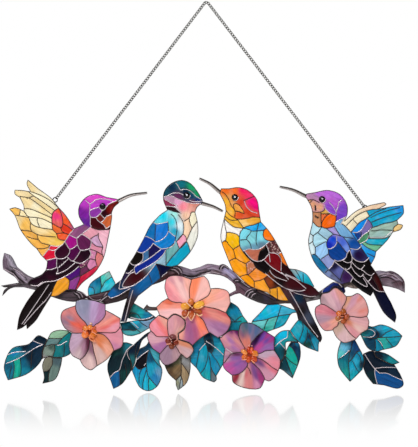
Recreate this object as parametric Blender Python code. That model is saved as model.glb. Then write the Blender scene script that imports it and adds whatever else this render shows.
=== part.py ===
"""Hanging bird ornament: four hummingbirds on a flowering branch, in leaded coloured glass, on a chain.

The ornament is flat and is built in two layers of plates that are soldered one on the other.
The back layer is the branch and its leaves, and the front layer is the birds and the flowers.
Within a layer the plates are fitted together like a jigsaw, with a narrow gap between them.
+X runs to the right, +Z up, the front faces -Y, and the origin is where the chain hangs.
"""

import math

import bmesh
import bpy
from mathutils import Vector
from mathutils.geometry import delaunay_2d_cdt

# Driving dimensions, in metres
ORNAMENT_WIDTH = 0.300
PLATE_THICKNESS = 0.0022
GAP = 0.0003
RING_RADIUS = 0.0017
RING_WIRE = 0.0004
CHAIN_PITCH = 0.00195
LINK_WIDTH = 0.0026
LINK_NECK = 0.0012
LINK_THICKNESS = 0.0010
BEAK_ROOT = 0.0018
BEAK_TIP = 0.0009
EYE_RADIUS = 0.0024
EYE_HEIGHT = 0.0012
STAMEN_HEIGHT = 0.0022

# The outlines are drawn on a squared pattern, x to the right and y down from its top left corner.
# The ornament is this many squares wide, and this is the square that it hangs from.
PATTERN_WIDTH = 402.0
PATTERN_HANG = (206.4, 2.5)
SQUARE = ORNAMENT_WIDTH / PATTERN_WIDTH

# The layers lie behind and in front of the wire rings, which share the back layer's depth.
BACK_FRONT_Y = -RING_WIRE
BACK_REAR_Y = BACK_FRONT_Y + PLATE_THICKNESS
FRONT_REAR_Y = BACK_FRONT_Y - GAP
FRONT_FRONT_Y = FRONT_REAR_Y - PLATE_THICKNESS

# How finely a curve is read, and how far a straight edge may stray from it
CURVE_STEPS = 8
EDGE_TOLERANCE = 0.00010
SHORTEST_EDGE = 0.00012
MITRE_LIMIT = 2.0

# Each outline is a closed chain of smooth runs that meet in corners, either way round.
# A run starts where the one before it ends, and the first starts where the last one ends.
BRANCH = (
    ((10.5, 256), (16.8, 267.3)),
    ((28, 276), (42, 281), (58, 290), (74, 289.5), (86.5, 296.5)),
    ((97, 294.3), (109, 291), (134, 287), (160, 271), (176, 266), (191, 270)),
    ((200, 267.5), (208, 264.3), (219, 266)),
    ((223, 264.5), (231, 270), (243, 282), (257, 289), (270, 297), (284, 300), (311, 296)),
    ((330, 287.5), (347, 283), (362, 281), (374, 272.5), (379, 271), (386, 272)),
    ((391, 271.3), (399, 275.3), (403.8, 281), (404.5, 292)),
    ((397, 288.3), (381, 285), (368, 285), (356, 288.3), (347, 286.3)),
    ((340, 290), (327, 297), (311, 300.5), (300, 303), (285, 303), (266, 304), (251, 299), (240, 292.8)),
    ((235, 293.8), (228, 297)),
    ((228, 295),),
    ((231, 293.3), (236.5, 290.5)),
    ((235, 284.5), (224, 276), (208, 273)),
    ((200, 276), (191, 279), (180, 275.3), (170, 275.5)),
    ((163, 280.5), (146, 287), (131, 296), (119, 301), (105.5, 304)),
    ((101, 301.3), (94, 300.5), (86, 297.8)),
    ((79, 301), (69, 301), (55, 297.5), (40, 291), (24, 286.8)),
    ((14, 287), (8, 289.5), (2.5, 295.5)),
    ((4.5, 290.5), (8.5, 287)),
    ((4.5, 287), (1.5, 285.8)),
    ((10, 284.6), (19.5, 283)),
    ((15.5, 277), (9, 272.8), (3.5, 269)),
    ((3, 261), (4.5, 253.5)),
)

BIRD_LEFT = (
    ((107, 197.3), (97, 194), (86.5, 197), (79.3, 206), (79, 216), (83.8, 224.3)),
    ((79, 226.5), (74.3, 228.5)),
    ((66, 215.5), (58.5, 207.2)),
    ((51, 198), (38, 188.3), (28, 179.8)),
    ((27, 184), (30.7, 191.6)),
    ((22, 190.2), (15, 190)),
    ((15, 194), (20, 197.5)),
    ((24, 206), (24, 211)),
    ((15.5, 207.5), (9.5, 209)),
    ((15, 215.5), (20.5, 229.5), (32, 244.5), (37, 248.8)),
    ((41, 254.8), (47.5, 261.5)),
    ((47, 266), (46, 270)),
    ((42, 274.3), (31.5, 279.3), (28, 283.3)),
    ((32, 285.8), (38, 287)),
    ((25.5, 304), (19.5, 316.5), (17.3, 329.8)),
    ((22.5, 327.6), (26.6, 324.5)),
    ((27.2, 328.9),),
    ((36, 320.5), (44, 307.5), (51, 296.5)),
    ((57, 296), (66.5, 290)),
    ((71, 289.3), (76.5, 290.2)),
    ((82.5, 282.8), (95, 272.5), (103.5, 258.5), (107.8, 241), (110.5, 227.5)),
    ((112, 217), (111.7, 213)),
    ((114, 207.5), (119, 203)),
    ((117, 199),),
)

BIRD_CENTRE_LEFT = (
    ((197.5, 191.5), (190, 183), (181.5, 180.2), (172, 183), (165, 190), (163.2, 199), (167.3, 210)),
    ((160, 215), (150, 226), (143.5, 239), (133, 258), (129.3, 263.3)),
    ((125.2, 272), (121.3, 280)),
    ((114.5, 285), (107.3, 294)),
    ((109.5, 298), (117, 296.5), (130, 288.7)),
    ((124.5, 307), (120.8, 321.5)),
    ((126.5, 321.5),),
    ((131.5, 307.5), (138.3, 295.8)),
    ((149, 287.3), (160, 278.8)),
    ((167, 272.5), (172, 266.7)),
    ((178, 265.2),),
    ((189.5, 253.3), (197.5, 237), (197.8, 224), (195.2, 212)),
    ((197, 207.5), (202, 203.2)),
    ((202.6, 200.6),),
)

BIRD_CENTRE_RIGHT = (
    ((229, 188.6), (238, 187.3), (248, 190.3), (256.8, 199.5), (259.3, 213), (260.8, 221.8)),
    ((269, 231), (279.5, 248), (288.5, 267.5)),
    ((299, 280.3), (312, 286), (320.3, 294)),
    ((313, 297), (304.5, 297.4)),
    ((309.5, 311), (318, 328), (321.8, 338), (320, 342.3)),
    ((316.5, 337.5), (301, 320.5)),
    ((298.3, 320),),
    ((296, 311.5), (289, 300.8)),
    ((280, 300.3), (267, 292.5)),
    ((250, 286), (233, 271)),
    ((226.5, 255.5), (220.6, 237), (224, 219), (225.8, 211)),
    ((224.8, 204), (219.8, 194)),
    ((221, 188.6),),
)

BIRD_RIGHT = (
    ((315, 192.4), (328, 190.2), (340, 194.5), (347, 205), (347, 215), (344, 221.2)),
    ((356, 211), (369, 205.5), (384, 202.3)),
    ((386, 204.3), (377.5, 209.2)),
    ((390, 206.7), (403, 205.3)),
    ((403.3, 213.5), (397, 220.3)),
    ((397.8, 223.8),),
    ((402.5, 225.3), (400.5, 229.5), (392.5, 232.3)),
    ((387, 240.5), (376, 251.6)),
    ((374.8, 257), (370.6, 265)),
    ((379, 277.5), (383.7, 290)),
    ((392, 305), (396, 316), (394.7, 322.5)),
    ((384, 313), (373, 291.8)),
    ((370.3, 296),),
    ((362, 291), (350.3, 282.2)),
    ((341.5, 284.3),),
    ((325.5, 275.3), (313.5, 261), (308.3, 242), (312.3, 222), (311.5, 208), (305.3, 196.5)),
    ((306.5, 193.8),),
)

FLOWER_LEFT = (
    ((82, 299), (94, 300.3), (105.5, 304)),
    ((105.5, 310),),
    ((113, 313.8), (120.5, 318.3)),
    ((120.4, 326), (123.2, 335), (122, 346.5), (113.5, 351)),
    ((107.5, 359), (97, 366)),
    ((91, 370), (84, 366.3), (79.8, 359.5)),
    ((72, 355), (69, 345), (72, 332.3)),
    ((65, 328), (60.8, 318), (63, 310.8), (75.5, 305.5)),
    ((76.3, 300.6),),
)

FLOWER_BIG = (
    ((170, 276), (180, 275.6), (191, 279.2)),
    ((204, 275.8),),
    ((208.3, 280.5), (210.5, 288.5)),
    ((219, 288.2), (228, 291.5), (230.6, 302.8)),
    ((226, 312.5),),
    ((231, 321), (226.5, 332), (218, 337.8)),
    ((209.5, 332.3),),
    ((200, 338.5), (192, 346)),
    ((178, 346), (166, 325)),
    ((159.5, 315), (156.3, 307)),
    ((162, 301.5), (168, 298)),
    ((164.7, 288), (166, 279)),
)

FLOWER_SMALL = (
    ((174.5, 314.3), (184.5, 320.3), (184, 328.5), (178, 333.5)),
    ((178.5, 339.5),),
    ((190, 343.7), (193.7, 350), (187, 358.3), (181.3, 353.8)),
    ((176, 361), (165, 365), (159.3, 357), (159.8, 353.5)),
    ((152, 347.5), (147.3, 336), (150.5, 331.3)),
    ((149.3, 324.8), (158.5, 315)),
    ((168, 319.3),),
)

FLOWER_PURPLE = (
    ((224, 334.5), (231, 330.2), (238.7, 330.5)),
    ((241, 323.5), (251, 323), (264.3, 330.3)),
    ((274.6, 337),),
    ((274, 344), (274.5, 350.5)),
    ((280.3, 361), (276.5, 374.5), (269.5, 381), (264.5, 379.7)),
    ((260, 388), (246, 388.2), (233, 382), (232, 375.3)),
    ((223.5, 367), (224.8, 348.7)),
    ((219.5, 338.3),),
)

FLOWER_RIGHT = (
    ((322, 293.8), (328.5, 292.2), (335, 287.6), (343, 292.8), (346.2, 296.2)),
    ((352, 295.7), (357.5, 293.2), (364.5, 299), (368.5, 311), (367, 316.3)),
    ((369, 322), (367.3, 329.6)),
    ((361.5, 333), (355.5, 339.5)),
    ((344, 342.8), (337, 338), (332.8, 330.2)),
    ((324.3, 330.3), (315.6, 317), (315.5, 307.5), (320.5, 304)),
    ((320, 297.5),),
)

FRONT_LEAF = (
    ((326, 287), (335, 281.7), (343.5, 286)),
    ((345, 292), (335, 297)),
    ((326, 299), (319.8, 291.5)),
)

# The leaves, from left to right. Where one passes under a flower, a bird or the branch, it runs on
# a little behind it, and where it meets a leaf that is named before it, that leaf keeps its edge.
LEAVES = (
    ((
        ((43, 337), (38, 335.5), (29, 343.8), (12, 348.5), (4, 367), (8, 380.2)),
        ((28, 373.5), (41.5, 360), (42.5, 350.5), (47.2, 339.6)),
    ), (0.02, 0.16, 0.22)),
    ((
        ((51.5, 332.5), (59, 330), (67, 330.5)),
        ((75, 336), (75, 347), (69, 354.8)),
        ((63, 357.3), (55, 357.5), (48, 356.2), (38.5, 361.5)),
        ((42.5, 350), (47.4, 339.6)),
    ), (0.10, 0.33, 0.30)),
    ((
        ((48.5, 356.3), (56, 354), (62.3, 357)),
        ((60.5, 367), (55, 379.5), (42.5, 383.5)),
        ((44.2, 377.5), (42.3, 365), (45, 357.8)),
    ), (0.20, 0.25, 0.22)),
    ((
        ((93, 281), (100.5, 276), (109.2, 271)),
        ((112.5, 277.5), (115.3, 283.2)),
        ((113, 290), (104, 296), (88.5, 296)),
        ((88, 289), (90, 284)),
    ), (0.03, 0.45, 0.58)),
    ((
        ((139.5, 306.6), (143.5, 309)),
        ((147, 304.5),),
        ((148.7, 306.5), (159, 307.3)),
        ((159, 309.6), (146.2, 310.4)),
        ((155, 316.7),),
        ((146, 320), (136, 319.7), (125.5, 317.5)),
        ((128, 308), (134, 303.3)),
    ), (0.04, 0.35, 0.40)),
    ((
        ((138, 320.2), (146, 320), (155, 316.7)),
        ((160, 322),),
        ((151, 327), (139.8, 333.8)),
        ((130.5, 336), (123.3, 333.5), (120.5, 323)),
    ), (0.12, 0.42, 0.50)),
    ((
        ((126.5, 342.5), (133.5, 345)),
        ((127.5, 351.5), (131.3, 364), (131, 371)),
        ((122, 384), (113.5, 388.8)),
        ((107.4, 367), (111.5, 354.5), (119, 343)),
    ), (0.01, 0.10, 0.13)),
    ((
        ((139.5, 339.5), (145, 334.5), (153, 330)),
        ((154, 332.5),),
        ((142.5, 340), (139.3, 348.8)),
        ((136.3, 356), (135, 363), (131.4, 371)),
        ((131.5, 364), (127.7, 351.5), (133.5, 345)),
    ), (0.02, 0.08, 0.12)),
    ((
        ((146, 345.5), (149, 341)),
        ((156, 346), (162, 354)),
        ((159.3, 361), (162.3, 371), (158, 385.5), (149, 391), (140, 387.5), (132, 370.5)),
        ((136.5, 361), (136.6, 354), (139.7, 348.7)),
    ), (0.03, 0.40, 0.53)),
    ((
        ((169, 358), (184, 352), (190, 357)),
        ((190.3, 370), (186.5, 383), (178, 390.3)),
        ((176, 385), (175.8, 380.5)),
        ((168.5, 373.5), (164.3, 364.5)),
    ), (0.28, 0.22, 0.16)),
    ((
        ((196, 338), (207, 329.5), (218, 334)),
        ((226.5, 347), (226, 358), (216.3, 376)),
        ((216.5, 380), (214, 382.3)),
        ((203, 377.5), (196.5, 368), (187.5, 359.5)),
        ((190.5, 349),),
    ), (0.03, 0.38, 0.50)),
    ((
        ((238, 307), (243, 316), (247.6, 322)),
        ((246, 331), (235, 335), (225, 332)),
        ((223, 313), (231, 302.3)),
    ), (0.03, 0.34, 0.42)),
    ((
        ((262, 310.8), (270, 303), (281, 305), (293.5, 309.5)),
        ((300, 309),),
        ((300, 312.5),),
        ((291.8, 313.5), (284, 325), (272, 330), (261, 334)),
        ((250.5, 328), (252.5, 320.5)),
    ), (0.03, 0.48, 0.62)),
    ((
        ((298.5, 320), (304, 318)),
        ((312, 328), (320, 338)),
        ((318.5, 345), (318.3, 351.7)),
        ((306, 347), (297, 340.3), (290.2, 330.3)),
    ), (0.03, 0.38, 0.46)),
    ((
        ((275.5, 336), (282, 331), (290, 330.3)),
        ((293.5, 336.8), (298.5, 342.3)),
        ((291, 341.5), (286, 342.5), (285.6, 353.5), (281.3, 361)),
        ((276, 360), (270, 345)),
    ), (0.03, 0.42, 0.54)),
    ((
        ((292, 341.3), (298.5, 343), (300.5, 356), (292.5, 378.3)),
        ((282.5, 370), (277.5, 368)),
        ((279, 361), (285.5, 352)),
    ), (0.02, 0.26, 0.28)),
    ((
        ((297.5, 269.8), (307, 274.7), (314.2, 286.5)),
        ((305, 290), (290, 280), (288.5, 268.5)),
    ), (0.05, 0.48, 0.65)),
    ((
        ((372, 326.8), (381.5, 324.6), (395.5, 330), (402.3, 336)),
        ((396, 346), (382, 350)),
        ((378, 351.5), (368.5, 348.8), (360.5, 334.5)),
        ((357, 330), (365, 324)),
    ), (0.03, 0.34, 0.46)),
    ((
        ((337.6, 353), (339, 367), (350, 381.7)),
        ((355, 377), (362.3, 369.6)),
        ((364.3, 360), (354.5, 339)),
        ((350, 336), (342, 338)),
    ), (0.03, 0.34, 0.44)),
    ((
        ((387, 354), (399.5, 362.5)),
        ((393, 364.4), (376, 356.7)),
        ((374.5, 352.3), (379, 351.5)),
    ), (0.03, 0.32, 0.38)),
    ((
        ((372, 351), (394, 364)),
        ((401.5, 377), (403.3, 385), (398, 388.5), (384, 385.2), (373, 383.8)),
        ((366, 374.5), (362.7, 364), (363.3, 354)),
    ), (0.01, 0.07, 0.18)),
)

# A beak is a bent tapered rod, listed from its root to its tip.
BEAKS = {
    "beak_left": ((118.9, 200.3), (131, 195), (147.3, 192.7)),
    "beak_centre_left": ((202.9, 203.2), (213.5, 206.5), (223, 211.3)),
    "beak_centre_right": ((219.2, 191.1), (210, 183.6), (199.3, 178.3)),
    "beak_right": ((304.8, 195.4), (293, 189.8), (279.5, 186.6)),
}

# The glass eyes and the flower centres sit on the front plates, each on its centre.
EYES = {
    "eye_left": (102.8, 206.3),
    "eye_centre_left": (186.8, 195.3),
    "eye_centre_right": (234.8, 197.3),
    "eye_right": (321.9, 199.3),
}
STAMENS = {
    "stamens_left": ((89.5, 331.5), 9.3, 7),
    "stamens_big": ((191.8, 308.5), 11.5, 6),
    "stamens_small": ((172.3, 341.3), 7.5, 4),
    "stamens_purple": ((249.3, 355), 9.3, 7),
    "stamens_right": ((341.8, 316.5), 8.0, 5),
}
LOBE_DEPTH = 0.3
LOBE_SEGMENTS = 4

# The wire rings and the square that each is centred on, with the side its chain comes from
RINGS = {
    "left": (55.2, 199.8),
    "right": (365.0, 207.6),
}


def on_pattern(square):
    """The place of a pattern square in the model's x and z, seen from the front."""
    return Vector(((square[0] - PATTERN_HANG[0]) * SQUARE, (PATTERN_HANG[1] - square[1]) * SQUARE))


def smooth_run(points):
    """Points along a smooth curve through the given points, without the first one."""
    ends = (2 * points[0] - points[1], 2 * points[-1] - points[-2])
    path = [ends[0], *points, ends[1]]
    run = []
    for first in range(len(points) - 1):
        a, b, c, d = path[first:first + 4]
        t1 = math.sqrt((b - a).length)
        t2 = t1 + math.sqrt((c - b).length)
        t3 = t2 + math.sqrt((d - c).length)
        for step in range(1, CURVE_STEPS + 1):
            t = t1 + (t2 - t1) * step / CURVE_STEPS
            ab = a.lerp(b, t / t1)
            bc = b.lerp(c, (t - t1) / (t2 - t1))
            cd = c.lerp(d, (t - t2) / (t3 - t2))
            abc = ab.lerp(bc, t / t2)
            bcd = bc.lerp(cd, (t - t1) / (t3 - t1))
            run.append(abc.lerp(bcd, (t - t1) / (t2 - t1)))
    return run


def thinned(run):
    """The fewest points of an open run that keep its edges within the tolerance."""
    start, end = run[0], run[-1]
    chord = end - start
    strays = [abs((point - start).cross(chord)) / max(chord.length, SHORTEST_EDGE) for point in run]
    worst = max(range(len(run)), key=strays.__getitem__)
    if strays[worst] < EDGE_TOLERANCE or len(run) < 3:
        return [start, end]
    return thinned(run[:worst + 1])[:-1] + thinned(run[worst:])


def outline(runs):
    """The closed outline, as model points counterclockwise, of runs given on the pattern."""
    corner = on_pattern(runs[-1][-1])
    loop = []
    for run in runs:
        curve = [corner, *smooth_run([corner, *(on_pattern(square) for square in run)])]
        loop.extend(thinned(curve)[1:])
        corner = curve[-1]
    return loop if area(loop) > 0 else loop[::-1]


def area(loop):
    """The signed area of a closed loop of points."""
    return sum(loop[i - 1].cross(loop[i]) for i in range(len(loop))) / 2


def grown(loop, margin):
    """The counterclockwise loop moved outwards by the margin all round."""
    moved = []
    for i, point in enumerate(loop):
        before = (point - loop[i - 1]).normalized()
        after = (loop[(i + 1) % len(loop)] - point).normalized()
        normal = Vector((before.y + after.y, -before.x - after.x))
        if normal.length < EDGE_TOLERANCE:
            normal = Vector((before.y, -before.x))
        normal.normalize()
        spread = max(normal.dot(Vector((before.y, -before.x))), 1 / MITRE_LIMIT)
        moved.append(point + normal * margin / spread)
    return moved


def boundary_loops(triangles, points):
    """The closed loops of points round a set of triangles."""
    edges = {}
    for triangle in triangles:
        for i in range(len(triangle)):
            edges[(triangle[i - 1], triangle[i])] = True
    follow = {a: b for a, b in edges if (b, a) not in edges}
    loops = []
    while follow:
        start = next(iter(follow))
        loop = [start]
        while loop[-1] in follow:
            loop.append(follow.pop(loop[-1]))
        loops.append([points[index] for index in loop[1:]])
    return loops


def tidied(loop):
    """The loop without points that lie too close together or on a straight edge."""
    kept = []
    for point in loop:
        if not kept or (point - kept[-1]).length > SHORTEST_EDGE:
            kept.append(point)
    if (kept[0] - kept[-1]).length < SHORTEST_EDGE:
        kept.pop()
    corner = max(range(len(kept)), key=lambda i: kept[i].x)
    turned = kept[corner:] + kept[:corner + 1]
    return thinned(turned[:len(turned) // 2 + 1])[:-1] + thinned(turned[len(turned) // 2:])[:-1]


def cut(loop, neighbours):
    """The largest part of a loop that keeps the gap to all its neighbours."""
    points = []
    faces = []
    for shape in [loop] + [grown(neighbour, GAP) for neighbour in neighbours]:
        faces.append(list(range(len(points), len(points) + len(shape))))
        points.extend(shape)
    spots, _, triangles, _, _, owners = delaunay_2d_cdt(points, [], faces, 1, SHORTEST_EDGE / 100, True)
    own = [triangle for triangle, owner in zip(triangles, owners) if list(owner) == [0]]
    return tidied(max(boundary_loops(own, spots), key=lambda found: abs(area(found))))


def finish(name, color, roughness, metallic):
    """A material of the given colour, roughness and metallic value."""
    material = bpy.data.materials.new(name)
    material.use_nodes = True
    shader = material.node_tree.nodes["Principled BSDF"]
    shader.inputs["Base Color"].default_value = (*color, 1)
    shader.inputs["Roughness"].default_value = roughness
    shader.inputs["Metallic"].default_value = metallic
    return material


def add_object(name, mesh_builder, material):
    """An object of the built mesh, with its faces pointing out."""
    bmesh.ops.recalc_face_normals(mesh_builder, faces=mesh_builder.faces)
    mesh = bpy.data.meshes.new(name)
    mesh_builder.to_mesh(mesh)
    mesh_builder.free()
    mesh.materials.append(material)
    item = bpy.data.objects.new(name, mesh)
    bpy.context.scene.collection.objects.link(item)
    return item


def add_plate(name, loop, front_y, color):
    """A flat glass plate of the outline, its front face at the given depth."""
    build = bmesh.new()
    front = build.faces.new([build.verts.new((point.x, front_y, point.y)) for point in loop])
    rear = bmesh.ops.extrude_face_region(build, geom=[front])["geom"]
    bmesh.ops.translate(
        build,
        verts=[part for part in rear if isinstance(part, bmesh.types.BMVert)],
        vec=(0, PLATE_THICKNESS, 0),
    )
    return add_object(name, build, finish(name, color, 0.15, 0))


def add_rings(name, rings, material):
    """A closed solid through rings of points that all have the same number of points."""
    build = bmesh.new()
    rows = [[build.verts.new(point) for point in ring] for ring in rings]
    for near, far in zip(rows, rows[1:]):
        for i in range(len(near)):
            build.faces.new((near[i - 1], near[i], far[i], far[i - 1]))
    build.faces.new(rows[0])
    build.faces.new(rows[-1])
    return add_object(name, build, material)


def section(place, along, across, depth, sides):
    """An elliptical ring of points round a place, square to a direction that lies in the plates' plane."""
    sideways = Vector((-along.y, along.x))
    ring = []
    for side in range(sides):
        angle = math.tau * (side + 0.5) / sides
        spot = place + sideways * math.cos(angle) * across
        ring.append((spot.x, math.sin(angle) * depth, spot.y))
    return ring


def add_beak(name, squares):
    """A bent rod that tapers to its tip, in line with the front plates."""
    line = [on_pattern(square) for square in squares]
    middle_y = (FRONT_FRONT_Y + FRONT_REAR_Y) / 2
    curve = [line[0], *smooth_run(line)][::CURVE_STEPS // 4]
    rings = []
    for i, place in enumerate(curve):
        along = (curve[min(i + 1, len(curve) - 1)] - curve[max(i - 1, 0)]).normalized()
        radius = (BEAK_ROOT + (BEAK_TIP - BEAK_ROOT) * i / (len(curve) - 1)) / 2
        ring = section(place, along, radius, radius, 6)
        rings.append([(x, y + middle_y, z) for x, y, z in ring])
    return add_rings(name, rings, finish(name, (0.10, 0.08, 0.07), 0.35, 1))


def add_eye(name, square):
    """A glass bead with a domed face on the front of a bird's head."""
    centre = on_pattern(square)
    rear = FRONT_FRONT_Y - GAP
    rings = []
    for reach, height in ((1, 0), (0.9, 0.45), (0.6, 0.8), (0.2, 1)):
        ring = []
        for side in range(8):
            angle = math.tau * side / 8
            ring.append((
                centre.x + math.cos(angle) * EYE_RADIUS * reach,
                rear - EYE_HEIGHT * height,
                centre.y + math.sin(angle) * EYE_RADIUS * reach,
            ))
        rings.append(ring)
    return add_rings(name, rings, finish(name, (0.01, 0.01, 0.01), 0.05, 0))


def add_stamens(name, square, squares_across, lobes):
    """A flower's centre, a low lobed boss of fused glass beads."""
    centre = on_pattern(square)
    rear = FRONT_FRONT_Y - GAP
    radius = squares_across * SQUARE
    rings = []
    for reach, height in ((0.85, 0), (1, 0.4), (0.75, 0.85), (0.25, 1)):
        ring = []
        for side in range(lobes * LOBE_SEGMENTS):
            angle = math.tau * side / (lobes * LOBE_SEGMENTS)
            lobe = 1 - LOBE_DEPTH * reach * (1 - math.cos(lobes * angle)) / 2
            ring.append((
                centre.x + math.cos(angle) * radius * reach * lobe,
                rear - STAMEN_HEIGHT * height,
                centre.y + math.sin(angle) * radius * reach * lobe,
            ))
        rings.append(ring)
    return add_rings(name, rings, finish(name, (0.75, 0.22, 0.03), 0.2, 0))


def add_ring(name, square, material):
    """A round wire ring that stands out from behind a wing's edge."""
    centre = on_pattern(square)
    build = bmesh.new()
    rows = []
    for step in range(14):
        turn = math.tau * step / 14
        out = Vector((math.cos(turn), math.sin(turn)))
        row = []
        for side in range(5):
            angle = math.tau * side / 5
            spot = centre + out * (RING_RADIUS + RING_WIRE * math.cos(angle))
            row.append(build.verts.new((spot.x, RING_WIRE * math.sin(angle), spot.y)))
        rows.append(row)
    for i in range(len(rows)):
        for side in range(5):
            build.faces.new((
                rows[i - 1][side - 1], rows[i - 1][side], rows[i][side], rows[i][side - 1],
            ))
    return add_object(name, build, material)


def add_chain(name, start, end, material):
    """A straight run of flat links, fused end to end, each wide in its middle and narrow at its ends."""
    length = (end - start).length
    along = (end - start).normalized()
    links = max(round(length / CHAIN_PITCH), 1)
    rings = []
    for half in range(2 * links + 1):
        width = LINK_WIDTH if half % 2 else LINK_NECK
        rings.append(section(
            start.lerp(end, half / (2 * links)), along, width / math.sqrt(2), LINK_THICKNESS / math.sqrt(2), 4,
        ))
    return add_rings(name, rings, material)


def clear_scene():
    """Remove what the scene starts with."""
    for item in list(bpy.data.objects):
        bpy.data.objects.remove(item, do_unlink=True)


def add_front_layer():
    """The birds, the flowers and one leaf, each cut to clear the plates before it."""
    birds = {
        "bird_left": (BIRD_LEFT, (0.40, 0.05, 0.20)),
        "bird_centre_left": (BIRD_CENTRE_LEFT, (0.04, 0.28, 0.55)),
        "bird_centre_right": (BIRD_CENTRE_RIGHT, (0.80, 0.30, 0.05)),
        "bird_right": (BIRD_RIGHT, (0.15, 0.25, 0.60)),
    }
    shapes = {name: outline(runs) for name, (runs, _) in birds.items()}
    for name, (_, color) in birds.items():
        add_plate(name, shapes[name], FRONT_FRONT_Y, color)
    flowers = {
        "flower_small": (FLOWER_SMALL, (0.75, 0.35, 0.42)),
        "flower_purple": (FLOWER_PURPLE, (0.50, 0.22, 0.45)),
        "flower_big": (FLOWER_BIG, (0.88, 0.45, 0.38)),
        "flower_left": (FLOWER_LEFT, (0.70, 0.38, 0.42)),
        "flower_right": (FLOWER_RIGHT, (0.78, 0.45, 0.44)),
    }
    for name, (runs, color) in flowers.items():
        shapes[name] = cut(outline(runs), list(shapes.values()))
        add_plate(name, shapes[name], FRONT_FRONT_Y, color)
    leaf = cut(outline(FRONT_LEAF), list(shapes.values()))
    add_plate("leaf_over_branch", leaf, FRONT_FRONT_Y, (0.01, 0.03, 0.14))


def add_back_layer():
    """The branch and the leaves, each leaf cut to clear the branch and the leaves before it."""
    shapes = [outline(BRANCH)]
    add_plate("branch", shapes[0], BACK_FRONT_Y, (0.16, 0.11, 0.15))
    for number, (runs, color) in enumerate(LEAVES, start=1):
        shapes.append(cut(outline(runs), shapes))
        add_plate(f"leaf_{number:02d}", shapes[-1], BACK_FRONT_Y, color)


def add_hanging():
    """The two wire rings, the two chain runs and the link between them that hangs on the hook."""
    steel = finish("polished_steel", (0.62, 0.62, 0.60), 0.2, 1)
    dark_wire = finish("dark_wire", (0.06, 0.05, 0.05), 0.4, 1)
    hook = Vector((0, 0))
    link_end = CHAIN_PITCH / 2
    for side, square in RINGS.items():
        centre = on_pattern(square)
        add_ring(f"ring_{side}", square, dark_wire)
        up = (hook - centre).normalized()
        start = centre + up * (RING_RADIUS + RING_WIRE + GAP + LINK_THICKNESS / 2)
        add_chain(f"chain_{side}", start, hook - up * (link_end + LINK_WIDTH), steel)
    add_chain("chain_top_link", Vector((-link_end, 0)), Vector((link_end, 0)), steel)


clear_scene()
add_back_layer()
add_front_layer()
for beak, squares in BEAKS.items():
    add_beak(beak, squares)
for eye, square in EYES.items():
    add_eye(eye, square)
for boss, (square, squares_across, lobes) in STAMENS.items():
    add_stamens(boss, square, squares_across, lobes)
add_hanging()
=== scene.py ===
"""The hanging bird ornament, dressed for its portrait: leaded glass birds, flowers and leaves.

Every place is given on the ornament's squared pattern, x to the right and y down from its top left
corner, as the glazier's full-size drawing has it. The pattern is 402 squares wide, which is 300 mm.
"""

import math

import bmesh
import bpy
import numpy as np
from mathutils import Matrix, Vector, kdtree
from mathutils.geometry import delaunay_2d_cdt


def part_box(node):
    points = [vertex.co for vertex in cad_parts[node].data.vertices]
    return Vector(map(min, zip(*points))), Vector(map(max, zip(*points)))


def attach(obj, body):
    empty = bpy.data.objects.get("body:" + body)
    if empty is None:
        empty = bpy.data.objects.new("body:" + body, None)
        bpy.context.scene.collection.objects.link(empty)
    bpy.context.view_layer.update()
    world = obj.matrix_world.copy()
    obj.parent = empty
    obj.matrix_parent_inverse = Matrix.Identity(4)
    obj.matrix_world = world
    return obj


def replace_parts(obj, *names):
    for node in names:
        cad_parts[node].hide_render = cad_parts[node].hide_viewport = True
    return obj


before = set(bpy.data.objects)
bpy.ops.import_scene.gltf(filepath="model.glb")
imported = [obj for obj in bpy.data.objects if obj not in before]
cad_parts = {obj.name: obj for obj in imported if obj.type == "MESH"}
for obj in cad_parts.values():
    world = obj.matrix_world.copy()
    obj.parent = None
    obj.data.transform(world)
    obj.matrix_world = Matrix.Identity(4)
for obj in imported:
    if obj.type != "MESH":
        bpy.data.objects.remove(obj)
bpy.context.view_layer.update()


# The left bird
# A plate of coloured glass pieces, each wrapped in thin metal and soldered to the next. The glass is
# rolled, so its colour runs in streaks and its face is slightly pillowed between the lines.

# Lengths are in metres, places in squares of the pattern, and the rest are plain ratios.
SQUARE = 0.300 / 402
PATTERN_HANG = (206.4, 2.5)
GLASS_GRID = 0.0008
LINE_STEP = 0.0003
PILLOW_HEIGHT = 0.0004
PILLOW_WIDTH = 0.0014
CELL_REACH = 1.5 * SQUARE
PETAL_STREAK = 0.35
PETAL_MIDDLE = 0.012
RIM_WIDTH = 0.0004
RIM_REACH = 0.00013
LEAD_WIDTH = 0.0005
SOLDER_WIDTH = 0.0006
LEAD_PROUD = 0.00015
STRIP_ROUND = 0.35
RIM_TINT = 0.02
PIECE_SHIFT = 7.3
BLEND_POWER = 1.5
SHORTEST_NORMAL = 0.1
SHORTEST_SPREAD = 0.6
CLEAR_OF_LINES = 0.45
SAME_PLACE = 1e-7
SMALLEST_RISE = 1e-12
MILLIMETRES_IN_METRE = 1000


def on_pattern(square):
    """The place of a pattern square in the model's x and z."""
    return Vector(((square[0] - PATTERN_HANG[0]) * SQUARE, (PATTERN_HANG[1] - square[1]) * SQUARE))


def linear(shade):
    """The linear colour of an sRGB hex value."""
    parts = [int(shade[i:i + 2], 16) / 255 for i in (0, 2, 4)]
    return [part / 12.92 if part <= 0.04045 else ((part + 0.055) / 1.055) ** 2.4 for part in parts]


def add_node(tree, kind, inputs=None, **settings):
    """Adds a node with its settings, and with a value or a link for each input that is named."""
    node = tree.nodes.new(kind)
    for name, value in settings.items():
        setattr(node, name, value)
    for name, value in (inputs or {}).items():
        if isinstance(value, bpy.types.NodeSocket):
            tree.links.new(value, node.inputs[name])
        else:
            node.inputs[name].default_value = value
    return node


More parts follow.
